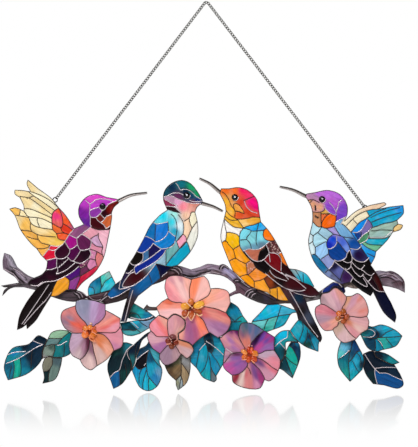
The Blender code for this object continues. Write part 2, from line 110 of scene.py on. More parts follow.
def shaded(name, settings):
    """A new material with the given inputs of its principled shader set, and its tree and shader."""
    material = bpy.data.materials.new(name)
    material.use_nodes = True
    shader = material.node_tree.nodes["Principled BSDF"]
    for socket, value in settings.items():
        shader.inputs[socket].default_value = value
    return material, material.node_tree, shader


def attribute(tree, name):
    """The node that reads a named attribute of the mesh."""
    return add_node(tree, "ShaderNodeAttribute", attribute_name=name)


def place_of(tree):
    """Each spot's place on the piece."""
    return add_node(tree, "ShaderNodeTexCoord").outputs["Object"]


def noise(tree, place, scale, detail=2.0, distortion=0.0):
    """The value of a noise texture at a place."""
    texture = add_node(tree, "ShaderNodeTexNoise", {
        "Vector": place, "Scale": scale, "Detail": detail, "Distortion": distortion,
    })
    return texture.outputs["Fac"]


def ranged(tree, value, given, wanted, **settings):
    """A value carried over from a given range to a wanted one, and kept within it."""
    node = add_node(tree, "ShaderNodeMapRange", {
        "Value": value, "From Min": given[0], "From Max": given[1], "To Min": wanted[0], "To Max": wanted[1],
    }, **settings)
    return node.outputs[0]


def worked_out(tree, operation, *values):
    """The result of a maths node."""
    return add_node(tree, "ShaderNodeMath", dict(enumerate(values)), operation=operation).outputs[0]


def mixed(tree, amount, first, second, blend="MIX"):
    """A mix of two colours; a mix node's inputs 6 and 7 and its output 2 are the ones for colours."""
    node = add_node(tree, "ShaderNodeMix", {
        0: amount, 6: first, 7: second,
    }, data_type="RGBA", blend_type=blend)
    return node.outputs[2]


def finished(tree, shader, colour, height=None, strength=0, depth=0):
    """Gives a shader its colour, and a bumped surface where a height is given."""
    tree.links.new(colour, shader.inputs["Base Color"])
    if height:
        bump = add_node(tree, "ShaderNodeBump", {"Height": height, "Strength": strength, "Distance": depth})
        tree.links.new(bump.outputs[0], shader.inputs["Normal"])


def linked(name, data):
    """A new object of the given data, in the scene at the origin."""
    item = bpy.data.objects.new(name, data)
    bpy.context.scene.collection.objects.link(item)
    return item


def smooth_piece(name, build, material):
    """A visible piece with smooth faces, all turned outwards, from a finished mesh build."""
    bmesh.ops.recalc_face_normals(build, faces=build.faces)
    mesh = bpy.data.meshes.new(name)
    build.to_mesh(mesh)
    build.free()
    mesh.shade_smooth()
    mesh.materials.append(material)
    piece = linked(name, mesh)
    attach(piece, "root")
    return piece


def blended(shades, part):
    """The linear colour, with its alpha, that is part of the way from the first shade to the second."""
    return (*[a + (b - a) * part for a, b in zip(*shades)], 1)


def curve_through(squares, step=LINE_STEP):
    """Evenly spaced model points on a smooth curve through pattern squares."""
    stops = [on_pattern(square) for square in squares]
    path = [2 * stops[0] - stops[1], *stops, 2 * stops[-1] - stops[-2]]
    run = [stops[0]]
    for first in range(len(stops) - 1):
        a, b, c, d = path[first:first + 4]
        pieces = max(math.ceil((c - b).length / step), 1)
        for piece in range(1, pieces + 1):
            t = piece / pieces
            run.append(0.5 * (
                2 * b + (c - a) * t + (2 * a - 5 * b + 4 * c - d) * t * t + (3 * b - a - 3 * c + d) * t ** 3
            ))
    return run


def stretched(run, reach):
    """The run with both ends carried on straight by the given reach."""
    head = run[0] + (run[0] - run[1]).normalized() * reach
    tail = run[-1] + (run[-1] - run[-2]).normalized() * reach
    return [head, *run, tail]


def plate_outline(node):
    """The outline of a CAD plate's front face, counterclockwise, with the depths of its two faces."""
    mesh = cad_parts[node].data
    low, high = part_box(node)
    spots = [(round(v.co.x, 6), round(v.co.z, 6)) for v in mesh.vertices]
    front = [v.co.y < (low[1] + high[1]) / 2 for v in mesh.vertices]
    edges = set()
    for polygon in mesh.polygons:
        corners = list(polygon.vertices)
        if all(front[corner] for corner in corners):
            for i in range(len(corners)):
                edges.add((spots[corners[i - 1]], spots[corners[i]]))
    follow = {a: b for a, b in edges if (b, a) not in edges}
    start = next(iter(sorted(follow)))
    loop = [start]
    while follow[loop[-1]] != start:
        loop.append(follow[loop[-1]])
    points = [Vector(spot) for spot in loop]
    turn = sum(points[i - 1].cross(points[i]) for i in range(len(points)))
    return (points if turn > 0 else points[::-1]), low[1], high[1]


def inset(loop, margin):
    """The counterclockwise loop moved inwards by the margin, with its sharp corners kept short."""
    moved = []
    for i, point in enumerate(loop):
        before = (point - loop[i - 1]).normalized()
        after = (loop[(i + 1) % len(loop)] - point).normalized()
        normal = Vector((-before.y - after.y, before.x + after.x))
        # Where the outline doubles back, its two sides' normals cancel out.
        if normal.length < SHORTEST_NORMAL:
            normal = Vector((-before.y, before.x))
        normal.normalize()
        spread = max(normal.dot(Vector((-before.y, before.x))), SHORTEST_SPREAD)
        moved.append(point + normal * margin / spread)
    return moved


def finer(loop, step):
    """The closed loop with its long edges divided."""
    run = []
    for i, point in enumerate(loop):
        after = loop[(i + 1) % len(loop)]
        pieces = max(round((after - point).length / step), 1)
        run.extend(point.lerp(after, piece / pieces) for piece in range(pieces))
    return run


def inside(loop, x, z):
    """Whether each of many places lies inside the closed loop."""
    within = np.zeros(len(x), dtype=bool)
    for i, point in enumerate(loop):
        last = loop[i - 1]
        crosses = (point.y > z) != (last.y > z)
        rise = (last.y - point.y) or SMALLEST_RISE
        within ^= crosses & (x < (last.x - point.x) * (z - point.y) / rise + point.x)
    return within


def trimmed(run, loop):
    """The longest stretch of the run that lies inside the loop."""
    held = inside(loop, np.array([point.x for point in run]), np.array([point.y for point in run]))
    longest = []
    stretch = []
    for point, within in zip(run, held):
        stretch = [*stretch, point] if within else []
        longest = max(longest, stretch, key=len)
    return longest


def tree_of(places):
    """A search tree over flat places."""
    tree = kdtree.KDTree(len(places))
    for i, place in enumerate(places):
        tree.insert((place[0], place[1], 0), i)
    tree.balance()
    return tree


def away_from(flat, points):
    """How far each flat place is from the nearest of the points."""
    near = tree_of(points)
    return np.array([near.find((x, z, 0))[2] for x, z in flat])


def cut_cells(loop, lines, step):
    """The plate's front face as points and triangles, with the number of each triangle's glass piece."""
    edge = finer(loop, step)
    low = [min(point[k] for point in loop) for k in (0, 1)]
    high = [max(point[k] for point in loop) for k in (0, 1)]
    rows = np.arange(low[1], high[1], step * math.sqrt(3) / 2)
    columns = np.arange(low[0], high[0], step)
    x = np.concatenate([columns + (row % 2) * step / 2 for row in range(len(rows))])
    z = np.repeat(rows, len(columns))
    within = inside(loop, x, z)
    spread = np.stack([x[within], z[within]], axis=1)
    clear = away_from(spread, edge + [point for line in lines for point in line]) > step * CLEAR_OF_LINES
    grid = [Vector(place) for place in spread[clear]]
    points = list(edge)
    cuts = []
    for line in lines:
        first = len(points)
        points.extend(line)
        cuts.extend((first + i, first + i + 1) for i in range(len(line) - 1))
    points.extend(grid)
    spots, edges, triangles, _, sources, owners = delaunay_2d_cdt(
        points, cuts, [list(range(len(edge)))], 1, SAME_PLACE, True,
    )
    triangles = [list(triangle) for triangle, owner in zip(triangles, owners) if len(owner)]
    walls = {tuple(sorted(pair)) for pair, source in zip(edges, sources) if len(source)}
    sides = {}
    for number, triangle in enumerate(triangles):
        for i in range(3):
            sides.setdefault(tuple(sorted((triangle[i - 1], triangle[i]))), []).append(number)
    cell = [-1] * len(triangles)
    count = 0
    for start in range(len(triangles)):
        if cell[start] >= 0:
            continue
        cell[start] = count
        stack = [start]
        while stack:
            triangle = triangles[stack.pop()]
            for i in range(3):
                pair = tuple(sorted((triangle[i - 1], triangle[i])))
                for other in () if pair in walls else sides[pair]:
                    if cell[other] < 0:
                        cell[other] = count
                        stack.append(other)
        count += 1
    rim = [pair for pair, owners_of in sides.items() if len(owners_of) == 1]
    return spots, triangles, np.array(cell), rim


def apart(centres, places, hub):
    """How far apart places are, squared; round a hub, a step along the grain counts for less."""
    if not hub:
        return ((centres[:, None, :] - places[None, :, :]) ** 2).sum(axis=2)
    middle = np.array(tuple(on_pattern(hub)))
    out = [group - middle for group in (centres, places)]
    turns = [np.arctan2(group[:, 1], group[:, 0]) for group in out]
    reach = [np.linalg.norm(group, axis=1) for group in out]
    between = (turns[0][:, None] - turns[1][None, :] + math.pi) % math.tau - math.pi
    across = between * (reach[0][:, None] + reach[1][None, :]) / 2
    along = (reach[0][:, None] - reach[1][None, :]) * PETAL_STREAK
    return across ** 2 + along ** 2


def pieces_at(centres, cell, places):
    """The number of the glass piece that each flat place lies in."""
    middles = tree_of(centres)
    return np.array([cell[middles.find((place[0], place[1], 0))[1]] for place in places], dtype=int)


def stain(centres, cell, glass, hub=None):
    """The colour of each triangle: its glass piece's own, blended between the places named in it."""
    places = []
    colours = []
    for shade, *spots in glass.values():
        for spot in spots:
            places.append(on_pattern(spot))
            colours.append(linear(shade))
    places = np.array([tuple(place) for place in places])
    colours = np.array(colours)
    home = pieces_at(centres, cell, places)
    result = np.zeros((len(centres), 3))
    for number in range(cell.max() + 1):
        own = cell == number
        chosen = np.flatnonzero(home == number)
        if len(chosen) == 0:
            middle = centres[own].mean(axis=0)
            chosen = [np.argmin(((places - middle) ** 2).sum(axis=1))]
        weight = 1 / (apart(centres[own], places[chosen], hub) + SQUARE ** 2) ** BLEND_POWER
        result[own] = (weight @ colours[chosen]) / weight.sum(axis=1, keepdims=True)
    return result


def grain_map(flat, corners, cell, hub):
    """Each triangle's corners across and along its grain: out from a flower's hub, or along its piece."""
    if hub:
        out = flat - np.array(tuple(on_pattern(hub)))
        turn = np.arctan2(out[:, 1], out[:, 0])[corners]
        # Where a triangle spans the step from half a circle to minus half, its low corners go up a turn.
        spans = np.ptp(turn, axis=1) > math.pi
        turn[spans] += np.where(turn[spans] < 0, math.tau, 0)
        return np.stack([turn * PETAL_MIDDLE, np.linalg.norm(out, axis=1)[corners]], axis=2)
    centres = flat[corners].mean(axis=1)
    along = np.zeros((len(centres), 2))
    for number in range(cell.max() + 1):
        own = cell == number
        spread = centres[own] - centres[own].mean(axis=0)
        _, _, axes = np.linalg.svd(spread if len(spread) > 2 else np.eye(2))
        along[own] = axes[0]
    side = np.stack([-along[:, 1], along[:, 0]], axis=1)
    place = flat[corners]
    return np.stack([(place * way[:, None, :]).sum(axis=2) for way in (side, along)], axis=2)


def rolled_glass(name, streak, paleness):
    """Opalescent rolled glass: streaks of paler and darker colour along the grain, a glossy wavy face."""
    material, tree, shader = shaded(name, {"Roughness": 0.16, "IOR": 1.5, "Specular IOR Level": 0.1})
    stained = attribute(tree, "stain").outputs["Color"]
    grain = add_node(tree, "ShaderNodeUVMap", uv_map="grain").outputs["UV"]
    # The UV map is in millimetres: streaks are about 1.5 mm wide and 12 mm long. Each glass piece's
    # streaks are shifted, so that they don't run on into the next.
    stretch = add_node(tree, "ShaderNodeMapping", {"Vector": grain, "Scale": (0.65, 0.08, 1)})
    shifted = add_node(tree, "ShaderNodeVectorMath", {
        0: stretch.outputs[0], 1: attribute(tree, "piece").outputs["Color"],
    })
    flow = noise(tree, shifted.outputs[0], 1.0, detail=4.0, distortion=0.6)
    deep = ranged(tree, flow, (0.3, 0.7), (1 - streak, 1 + streak * 0.6))
    shade = mixed(tree, 1.0, stained, deep, "MULTIPLY")
    pale = ranged(tree, noise(tree, grain, 0.16), (0.5, 0.8), (0.0, paleness))
    # Dark glass has hardly any white in it.
    light = add_node(tree, "ShaderNodeRGBToBW", {"Color": stained})
    body = ranged(tree, light.outputs[0], (0.02, 0.4), (0.02, 1.0))
    milk = mixed(tree, worked_out(tree, "MULTIPLY", pale, body), shade, (0.9, 0.88, 0.86, 1))
    # Speckled pieces have frit of crushed pale glass on them, its grains 1.6 mm apart.
    place = place_of(tree)
    grains = add_node(tree, "ShaderNodeTexVoronoi", {"Vector": place, "Scale": 620.0})
    core = ranged(tree, grains.outputs["Distance"], (0.2, 0.45), (0.75, 0.0))
    pale_grain = worked_out(tree, "MULTIPLY", core, attribute(tree, "frit").outputs["Fac"])
    speckled = mixed(tree, pale_grain, milk, (0.72, 0.48, 0.44, 1))
    # Rolled glass waves by a few hundredths of a millimetre, about 3 mm from crest to crest.
    finished(tree, shader, speckled, noise(tree, place, 330.0), strength=0.25, depth=0.0002)
    return material


def soldered_metal(name, shade, worn_shade, roughness):
    """Tinned metal line with a patina: dark in its hollows, brighter where cloths have rubbed it."""
    material, tree, shader = shaded(name, {"Metallic": 0.5, "Roughness": roughness})
    # Solder lies in flats and drops of about 2 mm.
    drops = noise(tree, place_of(tree), 500.0, detail=3.0)
    tone = mixed(tree, drops, (*linear(shade), 1), (*linear(worn_shade), 1))
    finished(tree, shader, tone, drops, strength=0.3, depth=0.0002)
    return material


def given_inputs(tree, inputs):
    """The input node of a geometry tree that takes the named inputs and gives back geometry."""
    for name, kind in inputs.items():
        tree.interface.new_socket(name, in_out="INPUT", socket_type="NodeSocket" + kind)
    tree.interface.new_socket("Geometry", in_out="OUTPUT", socket_type="NodeSocketGeometry")
    return add_node(tree, "NodeGroupInput")


def given_out(tree, shape, metal):
    """Ends a geometry tree: its shape made real and in one metal."""
    real = add_node(tree, "GeometryNodeRealizeInstances", {"Geometry": shape})
    painted = add_node(tree, "GeometryNodeSetMaterial", {"Geometry": real.outputs[0], "Material": metal})
    add_node(tree, "NodeGroupOutput", {"Geometry": painted.outputs[0]})


def strip_tree():
    """Geometry nodes that run a rounded strip of given width and depth along flat curves."""
    tree = bpy.data.node_groups.new("metal_strip", "GeometryNodeTree")
    given = given_inputs(tree, {
        "Geometry": "Geometry", "Width": "Float", "Depth": "Float", "Metal": "Material",
    }).outputs
    level = add_node(tree, "GeometryNodeSetCurveNormal", {
        "Curve": given["Geometry"], "Normal": (0, 1, 0),
    }, mode="FREE")
    section = add_node(tree, "GeometryNodeCurvePrimitiveQuadrilateral", {
        "Width": given["Depth"], "Height": given["Width"],
    })
    rounded = add_node(tree, "GeometryNodeFilletCurve", {
        "Curve": section.outputs[0], "Radius": worked_out(tree, "MULTIPLY", given["Width"], STRIP_ROUND),
        "Count": 2,
    }, mode="POLY")
    swept = add_node(tree, "GeometryNodeCurveToMesh", {
        "Curve": level.outputs[0], "Profile Curve": rounded.outputs[0], "Fill Caps": True,
    })
    given_out(tree, swept.outputs[0], given["Metal"])
    return tree


def made_by_nodes(name, start, tree, values):
    """A smooth visible piece, a plain mesh that a geometry node tree makes from the starting data."""
    source = linked(name, start)
    maker = source.modifiers.new("maker", "NODES")
    maker.node_group = tree
    for item in tree.interface.items_tree:
        if item.in_out == "INPUT" and item.name in values:
            maker[item.identifier] = values[item.name]
    evaluated = source.evaluated_get(bpy.context.evaluated_depsgraph_get())
    mesh = bpy.data.meshes.new_from_object(evaluated)
    bpy.data.objects.remove(source, do_unlink=True)
    mesh.name = name
    mesh.shade_smooth()
    piece = linked(name, mesh)
    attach(piece, "root")
    return piece


def flat_curve(name, runs, depth, closed):
    """A curve of straight pieces through each run of flat points, at one depth."""
    curve = bpy.data.curves.new(name, "CURVE")
    curve.dimensions = "3D"
    for run in runs:
        spline = curve.splines.new("POLY")
        spline.points.add(len(run) - 1)
        for point, spot in zip(spline.points, run):
            point.co = (spot.x, depth, spot.y, 1)
        spline.use_cyclic_u = closed
    return curve


def add_strips(name, runs, front, rear, width, metal, closed=False):
    """Metal strips along runs of points, through the whole plate and a little proud of both its faces."""
    curve = flat_curve(name, runs, (front + rear) / 2, closed)
    depth = rear - front + 2 * LEAD_PROUD
    made_by_nodes(name, curve, metal_strip, {"Width": width, "Depth": depth, "Metal": metal})


def closed_plate(name, flat, corners, rim, front, back, tint, grain, edge, material):
    """A closed mesh over a flat net of triangles, with the depth of each point's front and back."""
    count = len(flat)
    vertices = [(x, y, z) for (x, z), y in zip(flat, front)]
    vertices += [(x, y, z) for (x, z), y in zip(flat, back)]
    walls = [(a, b, b + count, a + count) for a, b in rim]
    mesh = bpy.data.meshes.new(name)
    mesh.from_pydata(vertices, [], [*corners.tolist(), *(corners[:, ::-1] + count).tolist(), *walls])
    # The triangles come first, so their corners are numbered in order; the side walls have one colour.
    both = np.concatenate([tint, tint[:, ::-1]]).reshape(-1, 3)
    colours = np.ones((len(mesh.loops), 4))
    colours[:, :3] = edge
    colours[:len(both), :3] = both
    mesh.attributes.new("stain", "FLOAT_COLOR", "CORNER").data.foreach_set("color", colours.ravel())
    laid = np.zeros((len(mesh.loops), 2))
    laid[:len(both)] = np.concatenate([grain, grain[:, ::-1]]).reshape(-1, 2) * MILLIMETRES_IN_METRE
    mesh.uv_layers.new(name="grain").data.foreach_set("uv", laid.ravel())
    turned = bmesh.new()
    turned.from_mesh(mesh)
    bmesh.ops.recalc_face_normals(turned, faces=turned.faces)
    turned.to_mesh(mesh)
    turned.free()
    mesh.shade_smooth()
    mesh.materials.append(material)
    piece = linked(name, mesh)
    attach(piece, "root")
    return piece


def add_glass(name, loop, front, rear, runs, glass, material, hub):
    """The glass pieces of one plate, as one closed mesh with a pillowed front and a plain flat back."""
    lines = [stretched(run, CELL_REACH) for run in runs]
    spots, triangles, cell, rim = cut_cells(loop, lines, GLASS_GRID)
    flat = np.array([tuple(spot) for spot in spots])
    corners = np.array(triangles)
    centres = flat[corners].mean(axis=1)
    shade = stain(centres, cell, glass, hub)
    away = away_from(flat, finer(loop, LINE_STEP) + [point for run in runs for point in run])
    sunk = PILLOW_HEIGHT * (1 - (away / PILLOW_WIDTH).clip(0, 1)) ** 2
    back = np.full(len(flat), rear - LEAD_PROUD)
    tint = np.repeat(shade[:, None, :], 3, axis=1)
    grain = grain_map(flat, corners, cell, hub)
    piece = closed_plate(name, flat, corners, rim, front + sunk, back, tint, grain, RIM_TINT, material)
    # A colour with speckled in its name marks its glass piece as speckled with pale frit.
    marks = [on_pattern(spot) for key in glass if "speckled" in key for spot in glass[key][1:]]
    speckled = np.isin(cell, pieces_at(centres, cell, marks))
    for kind, values in (("piece", cell * PIECE_SHIFT), ("frit", speckled)):
        numbers = piece.data.attributes.new(kind, "FLOAT", "FACE")
        numbers.data.foreach_set("value", np.concatenate([values, values, np.zeros(len(rim))]))
    return piece


def glaze(node, glass, lead=(), solder=(), hub=None, material=None):
    """Builds one plate: its glass pieces, its dark lead lines, its bright solder lines and its rim."""
    loop, front, rear = plate_outline(node)
    dark, bright = [
        [run for run in (trimmed(curve_through(line), loop) for line in lines) if len(run) > 1]
        for lines in (lead, solder)
    ]
    panes = add_glass(node + "_glass", loop, front, rear, dark + bright, glass, material or bird_glass, hub)
    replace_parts(panes, node)
    rim = finer(inset(loop, RIM_WIDTH / 2 - RIM_REACH), GLASS_GRID)
    add_strips(node + "_rim", [rim], front, rear, RIM_WIDTH, dark_lead, closed=True)
    if dark:
        add_strips(node + "_lead", dark, front, rear, LEAD_WIDTH, dark_lead)
    if bright:
        add_strips(node + "_solder", bright, front, rear, SOLDER_WIDTH, bright_solder)


metal_strip = strip_tree()
bird_glass = rolled_glass("rolled_glass", streak=0.22, paleness=0.12)
dark_lead = soldered_metal("patinated_lead", "1C1214", "42342E", roughness=0.5)
bright_solder = soldered_metal("tinned_solder", "AE9CA6", "F6ECEE", roughness=0.3)

# A lead or solder line is a smooth curve through the places in its row. Each glass colour has its
# shade and the places that show it.
LEFT_BIRD_LEAD = (
    ((30.5, 191.5), (40, 195), (50, 200.5), (58.5, 207.5)),
    ((29, 192), (34, 196), (43, 202), (55, 210.5)),
    ((20, 196.5), (30, 198.5), (42, 207), (52, 214.5)),
    ((34, 196), (27, 198.5)),
    ((24, 208.5), (32, 209.5), (43, 214), (52, 218)),
    ((24, 211), (28.5, 216.5), (36, 217.5), (43, 219), (52.5, 223.5)),
    ((37.5, 218), (37.5, 221), (39.5, 226.8)),
    ((28.5, 216.5), (32, 224), (40, 227.5), (53, 229.5)),
    ((16, 215.3), (24, 216.5), (28.5, 217.5)),
    ((20.5, 210.3), (19.5, 215.5)),
    ((31, 222.5), (30.5, 228), (33, 232), (41, 235.5), (56, 237)),
    ((20.5, 230), (26, 230.5), (32.5, 231.5)),
    ((37, 234), (38.5, 239.7)),
    ((27, 236.5), (33, 238.5), (38.5, 239.7), (42, 243), (50.5, 245.3)),
    ((33, 248.2), (41, 248.7), (46, 248.2), (50.5, 245.5)),
    ((58.5, 208), (53.5, 212), (52, 217), (52.3, 224), (53, 229.5), (56.5, 233.5), (58, 238),
     (61, 239.8), (66, 240.5)),
    ((59, 208.5), (61.5, 214), (63, 223.5), (60.5, 227.5), (52.5, 223.5)),
    ((63, 223.5), (68, 226.5), (73.5, 231)),
    ((60.5, 227.5), (63, 232), (69.5, 234.7)),
    ((57, 233.7), (63, 233), (69, 234.5)),
    ((98.5, 234.5), (94, 236.5), (90.5, 239)),
    ((98.5, 233), (98.8, 238), (103, 246.5)),
    ((91, 241.5), (96, 245.8), (103, 247.3)),
    ((103, 247), (102, 252), (103.5, 257.5)),
    ((90, 249), (97, 251.5), (102.5, 255)),
    ((97, 251.5), (95.5, 259), (97.5, 267)),
    ((84, 262.5), (89.5, 259), (96, 260)),
    ((89.5, 259), (87, 265.5), (90, 270.5)),
    ((79, 263.5), (80.5, 268), (87, 265.5)),
    ((80, 276.5), (88, 271.5), (96, 266)),
    ((80.5, 268), (80, 276)),
    ((65, 276.5), (69.5, 280.7), (68.5, 289)),
    ((69.5, 280.7), (80, 276.3), (75.5, 289.5)),
    ((90.8, 227), (97, 229.5), (103, 229.8), (109, 229.5)),
    ((57, 280.8), (53.5, 288), (51, 296.5)),
)
LEFT_BIRD_SOLDER = (
    ((85.5, 200), (90, 203.7), (94, 201.3), (97.5, 199.3), (106, 199.2), (113, 201.3)),
    ((90, 204), (90, 210), (89.6, 214), (90.5, 217), (90.3, 224.5)),
    ((90, 210.5), (93.5, 208.8), (98.5, 207.3)),
    ((90.5, 217), (96, 217.3), (100.3, 213.7), (102.3, 210.6)),
    ((98.8, 207.2), (102.6, 210.4), (106.3, 207), (108.5, 204.5), (112, 202.6), (117.5, 200.3)),
    ((96, 217.3), (98.3, 220.7), (104, 225), (106.5, 228.3), (112, 224.5)),
    ((100.5, 213.9), (102.8, 216.6), (104.8, 218.8), (101.2, 222.6)),
    ((104.8, 218.8), (107, 216.2), (112.5, 214.3)),
    ((90.5, 224.5), (90.8, 227), (84, 232.5), (77, 237.8)),
    ((73.8, 229.5), (69.5, 234.5), (65, 241.5), (62, 245), (57, 246.2), (50.5, 245.5)),
    ((69.5, 234.7), (77, 238), (82, 234.5), (90.7, 240), (91, 244.5), (89, 248.8), (81, 250),
     (77.8, 244.8), (77, 238)),
    ((77.8, 244.8), (70.3, 249), (65, 241.5)),
    ((62, 245), (57, 249), (55, 253), (56.5, 257.5), (61, 258.8), (66, 257.3), (69.5, 253), (70, 249)),
    ((80.8, 250.3), (77.5, 256), (72.7, 261), (67.5, 257)),
    ((89, 248.8), (91, 254), (87, 260), (80, 263.2), (73, 261)),
    ((50.5, 245.5), (48.6, 249.3), (43.3, 256)),
    ((48.6, 249.5), (53, 250.3), (56.5, 249.6)),
    ((57, 257.5), (57.2, 267.3), (62, 264.8), (69, 258)),
    ((47, 269.5), (52, 269.3), (57.3, 267)),
    ((56.3, 274), (61, 272.5), (67, 269.5), (75, 263)),
    ((56.3, 274), (58, 270.5), (57.3, 267)),
    ((38, 286.5), (45, 282), (56, 280.5), (70, 273.5), (79.5, 266)),
    ((29.5, 284.7), (37, 285.6), (43, 281.7)),
    ((46.3, 260.3), (52, 259), (57, 257.8)),
    ((49, 284.5), (44, 292), (38, 301), (27, 317), (22, 324)),
    ((51.5, 292), (46, 300), (40, 306), (28, 319.5), (24, 324.5)),
)
LEFT_BIRD_GLASS = {
    "cream flight feathers": ("F6EBC6", (45, 194), (41, 198), (36, 205), (33, 214), (44, 223),
        (34, 221), (48, 226)),
    "straw feathers": ("F0D69C", (20, 193), (30, 187), (30, 202), (45, 210), (42, 230), (18, 222)),
    "amber feathers": ("F2BA58", (14, 210), (25, 225), (42, 239), (30, 241)),
    "golden feathers": ("F2B04E", (26, 233), (38, 245), (33, 236), (46, 246.5), (41, 252)),
    "lime gold": ("F0C458", (56, 241)),
    "pale shoulder": ("F6E3B0", (47, 217), (47, 213), (22, 212)),
    "hot pink": ("EC3A80", (57, 216)),
    "orange red": ("F25A28", (60, 211), (66, 221), (62, 236)),
    "scarlet": ("E03A24", (67, 230)),
    "salmon red": ("E2605C", (57, 224)),
    "orange": ("E86A30", (57, 230)),
    "crimson": ("D81838", (52, 248), (48, 255.5)),
    "magenta crown": ("DC46C6", (96, 196), (106, 198.5), (88, 197)),
    "orchid crown": ("B83CBE", (96, 205), (84, 203)),
    "violet nape": ("7A1F98", (80, 212), (86, 216)),
    "deep nape": ("5A1F8A", (88, 224), (84, 221)),
    "purple cheek": ("8E38A4", (94, 213), (97, 211)),
    "maroon throat": ("400A12", (99, 226), (93, 222)),
    "black throat": ("2A0410", (104, 212), (105, 216)),
    "dark red throat": ("620A04", (109, 209), (114, 203.5)),
    "rust throat": ("6E2018", (99.5, 218)),
    "crimson throat": ("8A2022", (111.8, 209)),
    "copper bib": ("C86034", (108, 221), (106, 219)),
    "mauve scapulars": ("8A5078", (78, 233), (86, 228)),
    "magenta pentagon": ("A01080", (71, 242)),
    "rippled purple": ("5E1E4C", (84, 243)),
    "plum": ("300A20", (61, 252), (78, 258)),
    "deep purple": ("4A0A40", (74, 254)),
    "dark plum": ("200818", (85, 255), (63, 261), (70, 264), (60, 270)),
    "magenta plum": ("54104C", (51, 263)),
    "wine black": ("1A0610", (63, 275)),
    "plum feather": ("30091F", (51, 278)),
    "black plum": ("1C0816", (52, 273), (45, 279), (36, 283)),
    "salmon pink": ("E098A8", (93, 231), (88, 234)),
    "lilac": ("CCA0C2", (95, 240)),
    "shell pink": ("F2B4C6", (103, 237), (104.5, 243), (104.5, 250)),
    "rose": ("D888A0", (94, 247), (99, 249)),
    "dusk rose": ("D080A8", (91, 255), (92, 263)),
    "coral": ("DC7878", (99, 259)),
    "crimson flank": ("C81C40", (85, 278), (92, 272)),
    "speckled plum": ("6A2A50", (83, 267)),
    "amber belly": ("E89A28", (62, 285), (57, 288)),
    "violet vent": ("48106A", (75, 274)),
    "purple vent": ("8A3A88", (73.5, 284)),
    "black tail": ("140C0E", (40, 295), (27, 312), (45, 303), (33, 317), (40, 301)),
}
glaze("bird_left", LEFT_BIRD_GLASS, LEFT_BIRD_LEAD, LEFT_BIRD_SOLDER)


# The centre left bird
# Glass pieces as in the left bird, in blues and greens over a pale peach breast. The tail's pieces
# are long narrow slips, soldered side by side.

CENTRE_LEFT_BIRD_LEAD = (
    ((166.5, 209), (169, 209.8), (174, 211.5), (178.5, 212.5), (181, 213)),
    ((195, 212), (191.8, 212.2), (190.5, 215), (189, 218), (186, 220), (184, 221.3)),
    ((189.3, 218), (190, 223), (192, 228.5)),
    ((197, 221.5), (192, 228.5), (189, 235), (186.5, 241)),
    ((178, 214.5), (181.5, 219), (183.5, 224), (183.7, 230), (182.3, 235), (178, 240), (176.3, 241.5)),
    ((171, 214), (174, 217), (176.3, 222), (177, 229), (176, 236), (175.3, 240.5)),
    ((176.5, 241.5), (183, 234.5), (186.5, 240.5), (180, 248), (176.5, 241.5)),
    ((174.5, 243), (171, 246), (167, 249)),
    ((180, 248), (172, 257), (166, 265)),
    ((180, 248), (186.5, 242), (190.5, 251.5)),
    ((156, 224.5), (155.3, 232), (154.8, 240.5)),
    ((168, 221.8), (168.3, 227), (168.5, 231)),
    ((149, 250), (149, 258)),
    ((166, 250), (166, 265)),
    ((155.5, 263.7), (160, 264.5), (166, 266), (172, 266.6), (178, 265.3)),
    ((148.5, 273.5), (150.5, 278.5), (152, 283)),
    ((156, 264), (159, 271), (160.5, 278.5)),
)
CENTRE_LEFT_BIRD_SOLDER = (
    ((175.8, 183), (178, 185.7), (180.7, 190), (184, 189.3), (189, 190.2), (192.5, 192.7), (196, 196.2),
     (200.8, 199)),
    ((163.8, 197), (167, 196), (172, 193.6), (176, 193), (180, 193.3), (183.5, 195)),
    ((189.5, 200.3), (193, 201.5), (197, 201.7), (202, 201.2)),
    ((165.5, 206), (170, 206.4), (174, 207), (177, 209), (181, 213)),
    ((168, 196), (172, 196), (176, 198), (180, 199.8), (184, 201), (187, 202.3), (194, 203.5),
     (201, 203.3)),
    ((164.5, 199), (168, 201), (171, 203), (177, 205.5), (174, 206.6)),
    ((153.5, 222.5), (157, 224), (161, 223.5), (168, 221.8)),
    ((144.5, 236), (148, 237), (152, 239), (155, 241.3)),
    ((168.5, 231), (167, 234.5), (164, 238), (160, 240.5), (155, 242)),
    ((168.5, 231), (172, 234), (175.5, 236.5)),
    ((153.5, 243), (151, 246.5), (148, 249.5), (142.5, 252.8), (137, 251.5)),
    ((153.5, 243.5), (158, 246.7), (162, 248.7), (168, 248), (173, 245.5), (175.3, 241)),
    ((143, 253), (143, 258.5), (141, 262), (136, 265), (132.5, 264.5), (130, 262.5)),
    ((136, 266), (143.5, 262), (152, 256.5), (161, 249.5)),
    ((166, 250), (162, 256), (156, 261.5), (148, 266.5), (140, 271), (136, 273.8), (134.2, 268.5),
     (136, 266)),
    ((126, 272.8), (129, 273), (133, 269.5)),
    ((135, 271.5), (130, 274), (126, 279), (123, 284), (123.5, 287), (132, 286), (140, 281), (147, 275),
     (156, 263.5)),
    ((108.5, 296), (111, 298), (118, 295.8), (124, 292.3), (130.5, 288.3)),
    ((120.5, 281), (119.5, 286), (120, 289), (129, 287.5)),
    ((162, 276.5), (165, 274), (172, 268)),
    ((133, 290), (130, 300), (124.8, 321)),
)
